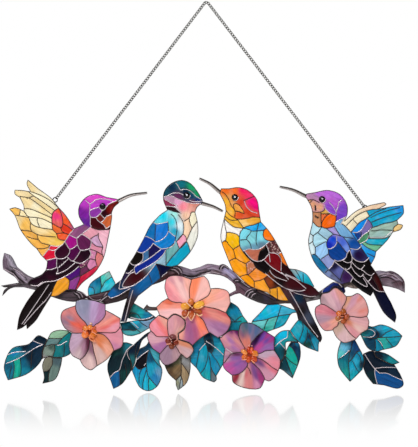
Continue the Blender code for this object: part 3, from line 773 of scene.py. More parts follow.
CENTRE_LEFT_BIRD_GLASS = {
    "nape navy": ("0B2D4A", (172, 188)),
    "deep teal": ("104858", (166, 191)),
    "crown teal": ("0F6A78", (181, 184)),
    "green": ("159A60", (192, 187), (197, 194)),
    "eye band": ("0C1C3C", (186, 192)),
    "band blue": ("123E66", (192, 196)),
    "cheek blue": ("142C70", (197, 200)),
    "plum": ("6A2A58", (178, 197)),
    "dull crimson": ("743048", (194, 202.7)),
    "cheek pink": ("DE9EC4", (178, 201)),
    "cheek mauve": ("B1849F", (172, 199)),
    "rose maroon": ("8A3050", (169, 204)),
    "black maroon": ("2A1018", (172, 209.5)),
    "coral": ("F88898", (183, 207)),
    "tan pink": ("D88878", (193, 205.5)),
    "peach": ("F8C8A8", (186, 216)),
    "deep peach": ("E8A090", (193, 209)),
    "cream": ("FDF4D4", (193, 216)),
    "pale peach": ("F8D2B0", (187, 228)),
    "milk": ("F6F0E4", (194, 226)),
    "grey white": ("E8E8DC", (192, 236), (193, 246)),
    "pink": ("FFAEC6", (181, 241)),
    "ice": ("E4F3F8", (180, 226)),
    "pale green": ("A0E8E0", (174, 213.5)),
    "cyan": ("10D8F0", (163, 216)),
    "light cyan": ("38CFE0", (172, 222)),
    "deep cyan": ("20A8C8", (174.5, 231)),
    "shoulder blue": ("0F6CB0", (150, 232)),
    "bright blue": ("1575D0", (161, 230)),
    "wing blue": ("0F7CC8", (165, 243)),
    "ultramarine": ("103A9A", (146, 244)),
    "black": ("140E0C", (137, 259), (130, 268)),
    "slate": ("3C6E9C", (146, 255)),
    "indigo": ("1A1650", (154, 251)),
    "royal blue": ("10288A", (148, 262), (160, 254)),
    "maroon": ("3A0810", (138, 278)),
    "dusk": ("2A2040", (126, 276)),
    "tip blue": ("0F5A98", (113, 292)),
    "tip navy": ("1A3046", (117, 286)),
    "grey blue": ("90B8CC", (161, 259)),
    "grey teal": ("6AA8A8", (172, 253)),
    "flank teal": ("0FA0C0", (183, 251), (174, 261)),
    "navy": ("060A30", (163, 270)),
    "vent blue": ("105C98", (153, 272), (143, 284)),
    "black tail": ("120E10", (126, 305)),
    "brown tail": ("3A2C30", (131, 303)),
}
glaze("bird_centre_left", CENTRE_LEFT_BIRD_GLASS, CENTRE_LEFT_BIRD_LEAD, CENTRE_LEFT_BIRD_SOLDER)


# The centre right bird
# Glass pieces as in the left bird: an orange belly of large hexagons, a turquoise shoulder and dark
# wine-red feathers between bright soldered lines.

CENTRE_RIGHT_BIRD_LEAD = (
    ((222, 191.8), (225, 194), (227.8, 198), (229.8, 202), (231.5, 206), (234.8, 211), (234.7, 217)),
    ((226, 210.5), (229.5, 214.5), (232, 216.5), (237.5, 219.7), (240, 223), (243.5, 228)),
    ((225, 216), (228, 218.8), (232, 220.3), (237.5, 220)),
    ((224.5, 219), (228, 222.5), (232, 225.8), (236, 227.5), (244, 228.4)),
    ((234.8, 211), (233.3, 206), (234.5, 203.8), (237, 204), (240, 206), (243.3, 211), (244, 213.5)),
    ((234.8, 211), (238, 211.5), (244, 213.5)),
    ((237.5, 219.2), (243, 219), (249, 218), (253, 217), (261, 217.5)),
    ((243, 228), (248, 226), (253, 225), (257, 223.5), (261, 221.8)),
    ((243.5, 200.8), (247, 199.3), (250, 198), (256.5, 195.3)),
    ((244, 228.2), (249, 229.5), (252, 231), (258, 230.8), (264, 230.3)),
    ((258.3, 223.5), (257.8, 227), (256.5, 231)),
    ((224.5, 220), (225, 226), (226.3, 232.5), (226, 238), (225.3, 241.5)),
    ((226.3, 232.5), (229, 232.3), (233, 233), (237, 234.5), (239.4, 237)),
    ((221.5, 243), (225.5, 240.5), (229, 245), (233, 249.5), (234.5, 254), (235.5, 258.3)),
    ((233.2, 249.3), (239.5, 245.3)),
    ((229, 261.2), (232, 259.5), (235.5, 258.3), (240, 261), (246.3, 264)),
    ((249.5, 261), (246.3, 263.5), (246.7, 269), (247, 274.7)),
    ((238.5, 278), (240.5, 276.5), (244, 275), (247.5, 274.8), (251, 277.5), (253.8, 281.2), (254.3, 287)),
    ((256, 267.5), (252, 271.3), (248, 274.6)),
    ((254, 281.2), (259, 280.5), (263, 279), (267, 276)),
    ((264, 279), (266.5, 284), (269.5, 289), (270, 293)),
    ((269.5, 288.7), (275, 287.8), (279.3, 286.6), (283, 292), (288, 300)),
    ((277, 288), (277.5, 299)),
    ((243, 228.5), (240, 233), (239.3, 240), (240, 246.5), (242.3, 250.5), (245, 254.5), (248, 258),
     (252.5, 262)),
    ((240, 240), (244, 239.7), (246.5, 239.7), (249, 242), (250.7, 245.5), (251.3, 249)),
    ((251, 231), (249.5, 234), (247, 237), (246.5, 239.7)),
    ((257, 231), (256.3, 236), (256, 242), (257, 245.5)),
    ((269.5, 228), (264.5, 229.4), (263, 234.5), (264.5, 238.5), (268, 240.5), (273, 240.8), (277, 239.7)),
    ((269.5, 241), (270.3, 246), (269.6, 252.5)),
    ((266, 245), (264, 248), (260.3, 251), (258.5, 256), (258, 260.8)),
    ((278, 253.8), (280.3, 257), (281, 261), (285, 265), (289, 266.5)),
    ((253, 262), (256, 267.5), (261, 271), (266.5, 273.5), (271, 268)),
    ((279, 286), (284, 287.8), (287, 289.5)),
    ((286.5, 290), (292, 301), (299, 313), (308, 327), (317.5, 338.5)),
    ((292, 291.5), (303, 295.5), (303.5, 299)),
)
CENTRE_RIGHT_BIRD_SOLDER = (
    ((244.3, 201), (246.5, 206.5), (251, 211), (257.3, 213.3)),
    ((243, 251), (249, 249), (254, 249.6), (259, 249), (262, 247.5), (266, 244.5), (270, 241)),
    ((244.5, 251), (249, 256.5), (253, 260), (258, 261.3), (263, 260), (267, 256), (269, 252.5),
     (266.3, 245)),
    ((269, 252.7), (274, 253), (277.5, 254), (281.5, 252)),
    ((277.5, 254), (280, 257), (281.2, 261), (281, 270.5)),
    ((264.5, 260.5), (272, 267.5), (283, 274), (290, 277), (297, 281), (306, 288.5)),
    ((269.3, 254), (269.6, 258), (270.2, 262)),
    ((269.5, 270), (272, 274), (277, 277.5), (287, 281)),
    ((265, 273), (274, 280.5), (280, 285), (286, 288.5), (298, 291), (305, 290)),
    ((288.5, 289.5), (296, 293), (303, 295), (310, 296.5), (316, 296), (319.5, 293.8)),
    ((281, 272), (285, 275.5), (288.5, 279.5)),
    ((285.5, 274), (294, 277.7), (303, 282.5)),
    ((289.5, 291), (296, 302), (302, 313), (309, 325), (318, 337)),
)
CENTRE_RIGHT_BIRD_GLASS = {
    "forehead orange": ("F26A1C", (226, 190), (234, 190)),
    "crown crimson": ("F01A60", (243, 190), (250, 193)),
    "hot pink": ("F40A7C", (252, 202), (256, 206)),
    "red orange": ("D8401C", (240, 202), (248, 212), (254, 215)),
    "face amber": ("E89848", (229, 198), (232, 203)),
    "flame": ("E05528", (239, 215), (246, 216)),
    "cheek amber": ("F0A040", (238, 208)),
    "throat yellow": ("F8B830", (227, 202), (231, 211), (230, 217)),
    "bib gold": ("F2B430", (236, 223.5)),
    "collar amber": ("F0A838", (248, 221), (256, 219)),
    "collar peach": ("FCD080", (246, 223.5)),
    "sky blue": ("12AAF0", (252, 228.5), (262, 226.5)),
    "glint_spot": ("FDF8F4", (231, 229), (223.5, 229), (223, 237)),
    "yellow": ("F8BC10", (232, 240)),
    "tangerine": ("FCA018", (228, 252), (239, 253), (237, 267)),
    "deep orange": ("FC9C10", (248, 280), (245, 277)),
    "speckled rose": ("C07858", (250, 268)),
    "orange": ("F89030", (258, 275)),
    "striped amber": ("F8A030", (259, 284), (264, 288)),
    "rust": ("8C3C18", (271, 282)),
    "pale amber": ("F0A028", (273, 293), (282, 296)),
    "turquoise": ("7FDCEC", (244, 235), (261, 237)),
    "teal": ("80D0D8", (252, 240), (245, 244)),
    "steel blue": ("6A9CB4", (246, 248), (253, 247)),
    "slate blue": ("54768C", (261, 245.5)),
    "bead orange": ("FC7A10", (269, 235)),
    "speckled brown": ("5A3034", (274, 247), (269, 247)),
    "rose brown": ("B86850", (252, 255)),
    "black": ("100A0C", (262, 256), (262, 266)),
    "dark red": ("740C16", (273, 259), (268.5, 257)),
    "edge orange": ("F07820", (283, 258)),
    "maroon": ("28060C", (288, 271), (276, 272), (281, 276)),
    "wine": ("3A0A12", (292, 284), (308, 290), (298, 284.5)),
    "black feather": ("0C080A", (275, 281), (280, 283)),
    "blue tail": ("0E2A40", (298, 298)),
    "slate tail": ("3A4254", (309, 318)),
    "black tail": ("0C0A0C", (300, 311), (311, 328.5)),
    "brown tail": ("4A2C30", (294, 310), (286, 293)),
}
glaze("bird_centre_right", CENTRE_RIGHT_BIRD_GLASS, CENTRE_RIGHT_BIRD_LEAD, CENTRE_RIGHT_BIRD_SOLDER)


# The right bird
# Glass pieces as in the left bird. Its raised wing is cut from the same plate, with long feathers in
# blue, grey green and cream.

RIGHT_BIRD_LEAD = (
    ((336, 215.3), (335.8, 220), (335, 224), (334.3, 226.5)),
    ((321, 213.8), (326, 213.8), (330, 213.7), (336, 216)),
    ((321.2, 226.8), (321.8, 222.5), (323.5, 219), (326, 216), (329, 214)),
    ((313, 222), (315.5, 225), (318.5, 227), (321.3, 226.8), (325, 228.2), (329, 227.8), (334.5, 226.3)),
    ((311.5, 210), (313, 211.8), (317, 212.3), (320.5, 212), (323.5, 210.8), (325, 208.3)),
    ((314.7, 205.2), (315.2, 210.7)),
    ((315.5, 205.4), (315.9, 210.6)),
    ((306.5, 200.2), (313, 199.7), (316.5, 201.3), (319.3, 202.8)),
    ((309.7, 202.6), (312, 200.6)),
    ((314.6, 216), (316.3, 217.6), (318.2, 218.2)),
    ((315, 215.2), (316.8, 216.8), (318.8, 217.4)),
    ((320.8, 212), (320.9, 219), (321.3, 226.5)),
    ((321.3, 227), (319.5, 230), (317.3, 232.7), (313.5, 235.5), (312.8, 240), (313.2, 244),
     (315, 247.5), (315, 254.5)),
    ((309, 232.5), (313.2, 236)),
    ((312.8, 241), (309, 244)),
    ((315, 247.3), (319, 245), (325.8, 241.5)),
    ((312.3, 254.5), (315, 254.5), (320.5, 260), (328.5, 269.5), (333, 273.5), (341.5, 281.5)),
    ((321, 259), (324.5, 256.5), (328.5, 253.8)),
    ((325.2, 272.6), (328.5, 269.5)),
    ((317.8, 232.8), (323, 237), (327.2, 240)),
    ((325.5, 228), (330, 231.5), (333.5, 234.3)),
    ((334.3, 226.5), (338.3, 233), (341, 236), (346, 237.3), (353, 238.3)),
    ((333, 234.2), (329, 237.5), (326.7, 242), (326.7, 246.5), (328, 248.8), (328.5, 253.8),
     (330.5, 257.5), (334, 260)),
    ((333, 234.2), (336.5, 234.8), (340.5, 236)),
    ((336.7, 241.5), (339.5, 244), (343, 248.5), (347, 253.3)),
    ((342.5, 236.5), (345.5, 240), (348.5, 245), (350.5, 250.5)),
    ((341, 223.3), (345, 226), (349.5, 231), (354.5, 237.5), (359, 243), (361, 247.5)),
    ((346, 225.5), (352.5, 219), (356, 216), (360, 213.5), (366, 211), (372, 209.5), (378, 208.8),
     (386.5, 205)),
    ((352.5, 219), (357, 224)),
    ((351, 232), (356, 226), (360, 222), (366, 218.5), (372, 214.3), (378, 211.3), (386, 208.5)),
    ((366.3, 210.7), (369.3, 216.5)),
    ((370.5, 217.7), (378, 213.9), (388, 210.5), (400, 207.5)),
    ((371.3, 222.3), (380, 218.7), (390, 215.5), (401, 212.5)),
    ((367.3, 219), (370.5, 222.5), (372.3, 226.5), (371, 228.5), (368.5, 232), (369, 237.8)),
    ((372, 227.5), (377, 226), (384, 223.5), (391, 222.3), (398.5, 219.5)),
    ((371, 230.7), (375, 230.8), (380, 230), (386, 230), (394, 230.7)),
    ((393, 231), (393.5, 227.5), (398.5, 223.5)),
    ((368.3, 238.6), (378, 238.8), (385, 238.3), (390.5, 235.5)),
    ((364.5, 241.8), (368, 243.8), (373, 244.8), (385, 245.3)),
    ((362, 243.8), (367, 247.5), (372, 250), (377, 251.8)),
    ((366.5, 253), (374.5, 257)),
    ((361, 247.5), (366, 255), (369, 260), (371, 264)),
    ((354.3, 232.8), (356, 236.5), (358.5, 240.5)),
    ((361, 232), (361, 237.5)),
    ((371.5, 277), (376, 284), (379, 290.5)),
    ((344.5, 268), (341.5, 275), (340, 280)),
)
RIGHT_BIRD_SOLDER = (
    ((324.3, 204.5), (325.5, 208.5), (328, 211.5), (331, 213.7), (336, 215.5)),
    ((342, 199.8), (338.6, 202.6), (337.8, 207), (336, 212), (336, 215.3)),
    ((335.4, 222.3), (340, 219.5), (347, 216.2)),
    ((340.5, 224.5), (344.3, 217)),
    ((329, 202.3), (332.5, 206), (335.9, 211.5)),
    ((328, 248.8), (331, 248.5), (335, 245.8), (337, 242)),
    ((336.5, 236.5), (336.6, 241.5)),
    ((334, 259.8), (338, 261), (343, 259.8), (346, 257), (347, 253.5), (349.5, 250.5), (351, 254),
     (352, 257)),
    ((350, 248.5), (353, 249), (356, 249.5), (358.5, 248.7), (361.5, 245.5)),
    ((352, 257), (356, 260.5), (362, 262), (365.5, 261), (369, 257.5)),
    ((342.5, 260.3), (346, 262.3), (349, 262.5), (351.5, 261), (352, 257)),
    ((344.5, 268), (347, 269.5), (350, 267.5), (351, 263), (349.5, 262.3)),
    ((351.3, 261.5), (353, 263.5), (357, 267.5), (361, 269), (364.5, 265)),
    ((350.5, 265.5), (352, 268), (354.5, 272), (359, 276), (361, 276.3), (363.5, 274)),
    ((361, 269.5), (363.5, 271), (367, 274), (371, 275.3), (374, 273)),
    ((371.5, 276.5), (370, 279.5), (367.8, 281.5)),
    ((345.5, 270), (350, 274), (356, 280.5), (366, 286.5), (366.5, 283.5), (363, 278)),
    ((363, 275.5), (368, 282), (376.5, 290.3), (384.5, 291.7)),
    ((352.5, 278), (350.3, 282.5)),
    ((334, 261.5), (332, 265.5), (328.8, 269)),
    ((334, 261), (340, 266), (345.5, 270)),
    ((352.5, 232.3), (357, 232.3), (361, 230), (364, 225.5), (367.3, 219.5)),
    ((371, 228), (368, 231.7), (363.7, 234.5), (361, 237.3), (357.5, 241)),
    ((359.5, 243.8), (363.5, 242), (367, 239.5), (368.5, 235.5)),
    ((369, 237.4), (377, 237.4), (385, 236.8), (388, 234.5), (392.5, 231)),
)
RIGHT_BIRD_GLASS = {
    "crown violet": ("C068E0", (328, 194), (336, 196), (318, 194)),
    "crown orchid": ("B858CC", (331, 200), (336, 205)),
    "brow mauve": ("B888B0", (312, 195.5), (316, 197)),
    "nape violet": ("7040C0", (341, 208), (340, 217)),
    "striped violet": ("8A48C8", (328, 206), (332, 210)),
    "face tan": ("E0A078", (313, 204), (320, 207)),
    "jaw tan": ("C88860", (316, 216), (318, 222)),
    "cheek amber": ("E0A850", (325, 211.5)),
    "cheek rust": ("E06C3C", (322.5, 216)),
    "cheek orange": ("F86810", (329, 220)),
    "back blue": ("78B0DC", (341, 229), (345, 233)),
    "lilac": ("B0A0E0", (333, 229.5), (336, 232.5)),
    "grey aqua": ("9CC4D8", (324, 231), (329, 236)),
    "pale aqua": ("BCE4F0", (315, 230)),
    "edge ice": ("D8EEF4", (310.7, 239), (311, 250)),
    "aqua": ("B0E0F0", (319, 240)),
    "cornflower": ("98C8F4", (321, 251), (319, 248)),
    "periwinkle": ("8C98D0", (328, 262)),
    "teal band": ("0F70A0", (318, 262), (323, 268)),
    "vent blue": ("8090C0", (329, 274)),
    "slate vent": ("5E6288", (332, 276)),
    "shoulder blue": ("0A48D0", (333, 239)),
    "shoulder deep": ("0C28B0", (329, 245)),
    "royal blue": ("4868D0", (342, 242)),
    "royal pale": ("7090E0", (347, 249)),
    "navy": ("0C4090", (338, 253)),
    "scapular blue": ("0C4898", (353, 244)),
    "small navy": ("0A3C88", (358, 236)),
    "black violet": ("200A38", (358, 255)),
    "black": ("0A080A", (349, 258), (358, 264), (367, 268), (347, 266), (358, 272), (355, 276),
        (364, 280), (368, 277)),
    "black flank": ("080608", (352, 271), (368, 290), (360, 285)),
    "dark wine": ("1C0812", (371, 280)),
    "maroon": ("380A0C", (377, 282), (380, 287)),
    "indigo": ("181430", (334.5, 266)),
    "slate violet": ("5A60A0", (339, 271)),
    "plum": ("38184C", (346, 277)),
    "tail navy": ("080C28", (385, 300), (391, 312)),
    "cream wing": ("F8EAC8", (350, 226), (350, 219), (362, 215)),
    "peach wing": ("F4D2B0", (375, 206.5), (382, 205)),
    "wing blue": ("1090F0", (358, 227)),
    "mauve": ("7A6AA8", (366, 227), (364, 231)),
    "wing cyan": ("18A8D8", (380, 218), (394, 214)),
    "wing tip blue": ("2090E0", (398, 209)),
    "teal cyan": ("14A4C4", (376, 223), (392, 218)),
    "grey green": ("9AB8A8", (384, 227), (376, 229)),
    "grey teal": ("9CC0BC", (379, 234)),
    "feather teal": ("1CACC8", (377, 241)),
    "feather green": ("70B890", (375, 247)),
    "gold tip": ("F0C880", (397, 227.5)),
    "small green": ("4C9068", (364.5, 238)),
    "bright blue": ("189CE8", (367, 250)),
    "low blue": ("2890D8", (371, 258)),
}
glaze("bird_right", RIGHT_BIRD_GLASS, RIGHT_BIRD_LEAD, RIGHT_BIRD_SOLDER)


# The flowers
# Each petal is one piece of streaky glass whose grain fans out from the middle, with dark lead
# between the petals. A cluster of fused glass beads sits in the middle of each.

petal_glass = rolled_glass("streaky_petal_glass", streak=0.14, paleness=0.1)

FLOWER_LEFT_LEAD = (
    ((75.5, 304.5), (76, 309), (78, 314), (82, 319), (86, 323), (89.5, 331.5)),
    ((105.5, 309.5), (105.5, 314), (103.5, 318), (99, 322.5), (95, 325), (89.5, 331.5)),
    ((121, 323), (119.5, 328), (116.5, 331.5), (113, 332.6), (104, 332.6), (96, 332), (89.5, 331.5)),
    ((114, 350.5), (112, 345), (109, 340), (106.5, 337), (102, 334), (89.5, 331.5)),
    ((97, 365.5), (96, 359), (94, 352), (92.5, 344), (90.5, 338), (89.5, 331.5)),
    ((79.5, 360), (84.5, 356), (88, 350.5), (89.5, 344), (90, 338), (89.5, 331.5)),
    ((71.5, 332.8), (80, 333), (89.5, 331.5)),
)
FLOWER_LEFT_GLASS = {
    "slate lilac": ("8C8CA6", (81, 305), (84, 312), (86, 301)),
    "grey lilac": ("9C90AC", (86, 319)),
    "lilac": ("BC9CC4", (95, 304), (94, 316)),
    "mauve": ("AC78A2", (102, 305), (99, 317)),
    "coral": ("D8807C", (70, 308), (64, 313)),
    "grey violet": ("94788C", (70, 318), (66, 322)),
    "orange red": ("E4604C", (79, 325), (74, 324)),
    "dusk": ("A08490", (63, 326)),
    "rose": ("D88C90", (108, 316)),
    "salmon": ("F09888", (106, 323), (112, 320)),
    "red": ("E86C64", (114, 321), (106, 327)),
    "pink": ("E498A8", (112, 328), (117, 325)),
    "rose pink": ("E090A0", (112, 337), (119, 340)),
    "orchid": ("C880A0", (116, 347)),
    "rust": ("D87848", (98, 339), (99, 344)),
    "apricot": ("E8A088", (107, 348)),
    "shell": ("D4B0AA", (101, 357), (100, 350)),
    "beige pink": ("E4C0BC", (90, 362)),
    "plum": ("80566A", (91, 347)),
    "pale lilac": ("C0A0B8", (75, 343), (73, 338)),
    "pearl": ("CCB0B4", (79, 354)),
    "heather": ("A87890", (84, 346)),
    "dark plum": ("50102C", (87.5, 341), (89, 344)),
}
glaze("flower_left", FLOWER_LEFT_GLASS, FLOWER_LEFT_LEAD, hub=(89.5, 331.5), material=petal_glass)

FLOWER_BIG_LEAD = (
    ((191.3, 277.5), (191, 282), (189.7, 287), (189.3, 293), (189.8, 298), (191.8, 308.5)),
    ((211, 289.5), (210, 292), (208, 295.5), (204.5, 298), (201, 299.8), (196, 303), (191.8, 308.5)),
    ((168, 298.7), (171.5, 301), (176, 302.3), (180.5, 302.5), (186, 305), (191.8, 308.5)),
    ((191.8, 308.5), (198, 306.8), (204, 306.6), (210, 307.5), (217, 309), (226.5, 313)),
    ((191.8, 308.5), (197, 314), (203, 320), (206, 326), (209, 333)),
    ((191.8, 308.5), (186, 314), (181, 318)),
)
FLOWER_BIG_GLASS = {
    "mauve": ("D4929C", (171, 279), (180, 277)),
    "pink": ("F08E98", (168, 293), (167, 287)),
    "salmon": ("FCA8A8", (173, 287)),
    "shell": ("FCC8C4", (183, 293), (179, 284)),
    "peach": ("F8B0A0", (187, 283)),
    "orange": ("FC8860", (195, 288), (197, 280)),
    "pale pink": ("FCC0B8", (201, 291), (203, 284)),
    "coral": ("F8A890", (213, 292), (208, 300)),
    "light coral": ("F8A8A0", (222, 294)),
    "blush": ("F4B4AC", (218, 304), (213, 305)),
    "bright orange": ("F88C50", (202, 303)),
    "terracotta": ("E48C80", (212, 313), (221, 318)),
    "deep rose": ("D06060", (202, 312), (226, 314)),
    "heather": ("A8709C", (216, 328), (222, 326)),
    "lilac": ("B888A8", (217, 333)),
    "plum": ("A05C88", (188, 327), (191, 334)),
    "rose": ("B05880", (195, 329)),
    "flame": ("F8805C", (200, 322), (202, 328)),
    "warm pink": ("E88080", (204, 332)),
    "apricot": ("F0A090", (181, 334)),
    "red orange": ("E0684C", (170, 303)),
    "soft salmon": ("F49480", (164, 306), (176, 306)),
    "pearl pink": ("FCC4C4", (168, 312), (177, 311)),
}
glaze("flower_big", FLOWER_BIG_GLASS, FLOWER_BIG_LEAD, hub=(191.8, 308.5), material=petal_glass)

FLOWER_SMALL_LEAD = (
    ((168, 319.5), (167.3, 324), (167.8, 330), (168.6, 335), (172.3, 341.3)),
    ((151, 330.5), (154, 333.5), (157, 336.3), (163, 336.6), (168.5, 337), (172.3, 341.3)),
    ((172.3, 341.3), (177, 348), (181.5, 355.5)),
    ((172.3, 341.3), (166, 347), (160, 353.5)),
)
FLOWER_SMALL_GLASS = {
    "pink": ("F090A0", (155, 323), (158, 331)),
    "red": ("F07878", (160, 325), (165, 331)),
    "salmon": ("F0A898", (164, 321)),
    "dusty pink": ("D898A4", (172, 325)),
    "rose": ("E0A0A0", (176, 323)),
    "apricot": ("DCA090", (180, 331)),
    "mauve": ("C0808C", (178, 319), (184, 321)),
    "rust": ("D88868", (184, 344)),
    "pearl": ("CCA4A8", (186, 350)),
    "grey mauve": ("9C7C90", (168, 356), (166, 351)),
    "dusk rose": ("B08890", (176, 353)),
    "shell": ("D8A0AC", (154, 338), (158, 341)),
    "purple": ("A8689C", (158, 348), (163, 343)),
}
glaze("flower_small", FLOWER_SMALL_GLASS, FLOWER_SMALL_LEAD, hub=(172.3, 341.3), material=petal_glass)

FLOWER_PURPLE_LEAD = (
    ((238.3, 330.5), (238.5, 335), (240, 339.5), (243, 345), (245.5, 349), (249.3, 355)),
    ((263.5, 331), (258, 335), (254, 339.5), (251, 343.5), (250, 349), (249.3, 355)),
    ((275, 350), (268, 350.3), (264.5, 351), (260.5, 353), (249.3, 355)),
    ((264.8, 379.5), (263.5, 376), (260, 370), (256, 366), (252, 362), (249.3, 355)),
    ((279, 371), (272, 367), (265.5, 361.8), (260, 358.5), (249.3, 355)),
    ((249.3, 355), (247.3, 365.5), (249, 369), (251, 374)),
    ((247.3, 365.5), (244.5, 369.5), (240.5, 372.8), (236, 374.5), (232.8, 374.8)),
    ((224, 363), (227, 359), (230.5, 354.5), (232.8, 353.3), (240, 352.5), (249.3, 355)),
)
FLOWER_PURPLE_SOLDER = (((225.5, 348.3), (229, 350.5), (232.3, 353)),)
FLOWER_PURPLE_GLASS = {
    "dusty coral": ("D89498", (224, 338), (229, 345)),
    "violet": ("A468A8", (231, 341), (233, 347)),
    "rose": ("C87890", (235, 336), (238, 346)),
    "coral pink": ("DC9088", (237, 341)),
    "dark plum": ("5C1858", (231, 331), (236, 331.5)),
    "old rose": ("C090A0", (227, 353), (225, 360)),
    "teal slate": ("3C6478", (246, 325)),
    "slate blue": ("506890", (250, 330), (256, 331)),
    "slate": ("5C6878", (243, 330)),
    "plum slate": ("785272", (243, 335)),
    "coral": ("E07C68", (245, 341), (249, 342)),
    "grey mauve": ("7A7090", (252, 337)),
    "near black": ("1A0830", (256, 341), (259, 336)),
    "deep violet": ("6444A0", (262, 338), (266, 341)),
    "magenta": ("A4307C", (268, 335), (272, 339)),
    "hot magenta": ("C04890", (259, 347), (260, 345)),
    "soft violet": ("9068A8", (267, 346)),
    "lilac grey": ("BCA0B4", (268, 353), (265, 356)),
    "pink coral": ("E88898", (273, 358), (276, 363)),
    "orchid grey": ("C890A8", (278, 356)),
    "red pink": ("E07888", (270, 367), (275, 370)),
    "orchid pink": ("D090A8", (266, 372), (271, 375)),
    "plum": ("6C4478", (260, 363)),
    "crimson": ("901C34", (236, 378)),
    "beige": ("DCC0B8", (241, 382), (243, 375)),
    "brick": ("C86068", (246, 374)),
    "salmon": ("D88080", (250, 379), (248, 384)),
    "purple": ("704080", (254, 371), (256, 376)),
    "deep magenta": ("A03070", (260, 378)),
    "lilac pink": ("D890B0", (257, 384)),
    "bright orchid": ("BC5094", (227, 365), (231, 369)),
    "lavender": ("8858A0", (235, 358), (237, 364)),
    "shadow plum": ("5C2850", (236, 354.3)),
}
glaze(
    "flower_purple", FLOWER_PURPLE_GLASS, FLOWER_PURPLE_LEAD, FLOWER_PURPLE_SOLDER,
    hub=(249.3, 355), material=petal_glass,
)

FLOWER_RIGHT_LEAD = (
    ((346.3, 295.5), (346.2, 299), (344.7, 303.5), (342, 308), (341.8, 316.5)),
    ((320.5, 303.8), (325, 305), (330, 308), (334.5, 311), (341.8, 316.5)),
    ((341.8, 316.5), (350, 316.2), (355, 316.8), (361, 317.3), (367.5, 315.8)),
    ((341.8, 316.5), (343.5, 324), (347.5, 330.5), (352, 335.5), (356, 338.5)),
    ((341.8, 316.5), (338.5, 322), (337.5, 325.5), (334, 328), (332, 330.5)),
)
FLOWER_RIGHT_GLASS = {
    "pearl pink": ("DCB0B8", (332, 300), (328, 298)),
    "pink": ("E0A4B4", (334, 295)),
    "salmon": ("E0988C", (340, 293), (337, 289)),
    "lilac pink": ("C898A8", (338, 305)),
    "brown mauve": ("A4848C", (322, 297)),
    "tan": ("D89878", (348, 299)),
    "lilac": ("D098AC", (353, 303), (354, 298)),
    "coral": ("E0887C", (360, 298), (361, 311)),
    "shell": ("E0A09C", (358, 306), (364, 305)),
    "blush": ("E0A4A8", (354, 313)),
    "pale rose": ("DCA4A8", (356, 320), (363, 321)),
    "cream pink": ("E4B8B0", (358, 328)),
    "dusty rose": ("D89098", (351, 330), (356, 334)),
    "rust": ("D07850", (347, 321)),
    "powder": ("DCB4B8", (344, 336), (341, 337)),
    "sand": ("C0A088", (341, 326)),
    "rose": ("DC8492", (324, 308), (319, 309)),
    "deep rose": ("CC7080", (331, 312)),
    "heather": ("B08C9E", (320, 319), (324, 319)),
    "warm rose": ("D08890", (328, 325)),
    "apricot": ("F0A48C", (333, 322)),
}
glaze("flower_right", FLOWER_RIGHT_GLASS, FLOWER_RIGHT_LEAD, hub=(341.8, 316.5), material=petal_glass)


# The leaves
# Streaky glass in blues and greens, cut to a few pieces each along the veins, behind the flowers.
# A leaf's midrib is a bright solder line, and its side veins are thin lead.

leaf_glass = rolled_glass("streaky_leaf_glass", streak=0.3, paleness=0.1)


def add_leaf(node, glass, lead=(), solder=()):
    """Builds one leaf of streaky glass."""
    glaze(node, glass, lead, solder, material=leaf_glass)


add_leaf("leaf_01", {
    "midnight": ("0A1C2C", (38, 338), (25, 347), (30, 358)),
    "deep blue": ("0C2C48", (34, 342.5)),
    "petrol": ("1A7484", (13, 350)),
    "sea blue": ("1A78B0", (14, 354)),
    "teal": ("10808C", (10, 358), (16, 357)),
    "green": ("10A08C", (17.5, 366), (18, 373)),
    "dark teal": ("0C5470", (8, 366)),
    "petrol blue": ("14708A", (8, 374), (12, 375)),
    "blue teal": ("0A5C78", (24, 363)),
    "bright teal": ("107890", (24, 371)),
    "night": ("0A2438", (33, 362), (37, 352)),
}, (
    ((19.8, 357), (20.8, 364), (21, 372), (19, 378)),
    ((13.5, 361), (14.3, 367), (13.5, 374), (12.5, 381)),
    ((11.5, 366), (9, 378)),
    ((32.5, 349.5), (31.5, 357), (31, 368)),
), (
    ((43, 344.5), (36, 347.5), (29, 352), (20, 357.5), (14, 360.5), (6, 363.7)),
    ((32.5, 340.3), (38, 342.8), (43, 344.5)),
    ((8, 354.7), (12, 353), (18, 351.8), (26, 351.5)),
))

add_leaf("leaf_02", {
    "pale green": ("90B898", (56, 334), (60, 332)),
    "teal": ("10787C", (66, 337)),
    "sea green": ("107074", (59, 351)),
    "deep sea": ("0C5C6C", (66, 350)),
    "grey green": ("5C7C7C", (53, 341)),
    "sage": ("7A8C80", (46, 351), (49, 352)),
    "mauve sage": ("908C8C", (42, 357)),
    "dark sage": ("485C54", (51, 348)),
}, (
    ((48.5, 338.3), (55, 338.5), (62, 338.3)),
    ((43.5, 346.5), (48, 345.5), (52, 344.5), (57, 344.3), (60, 340.5), (64, 336.5), (69.5, 332)),
    ((54.5, 344.5), (54.8, 350), (52.5, 357)),
    ((64, 343), (64.3, 350), (63.3, 358)),
), (((57, 345.3), (61, 344.6), (67, 341)),))

add_leaf("leaf_03", {
    "khaki": ("7A7868", (46, 362), (50, 360)),
    "sage": ("688078", (54, 370), (52, 378)),
    "slate": ("465A60", (58, 362)),
    "black teal": ("10282C", (47, 374), (46, 380)),
}, (
    ((52.5, 356), (52.3, 364), (50, 369), (48.5, 376), (48.5, 383.5)),
    ((43, 371.5), (47, 371), (50.3, 368.5)),
))

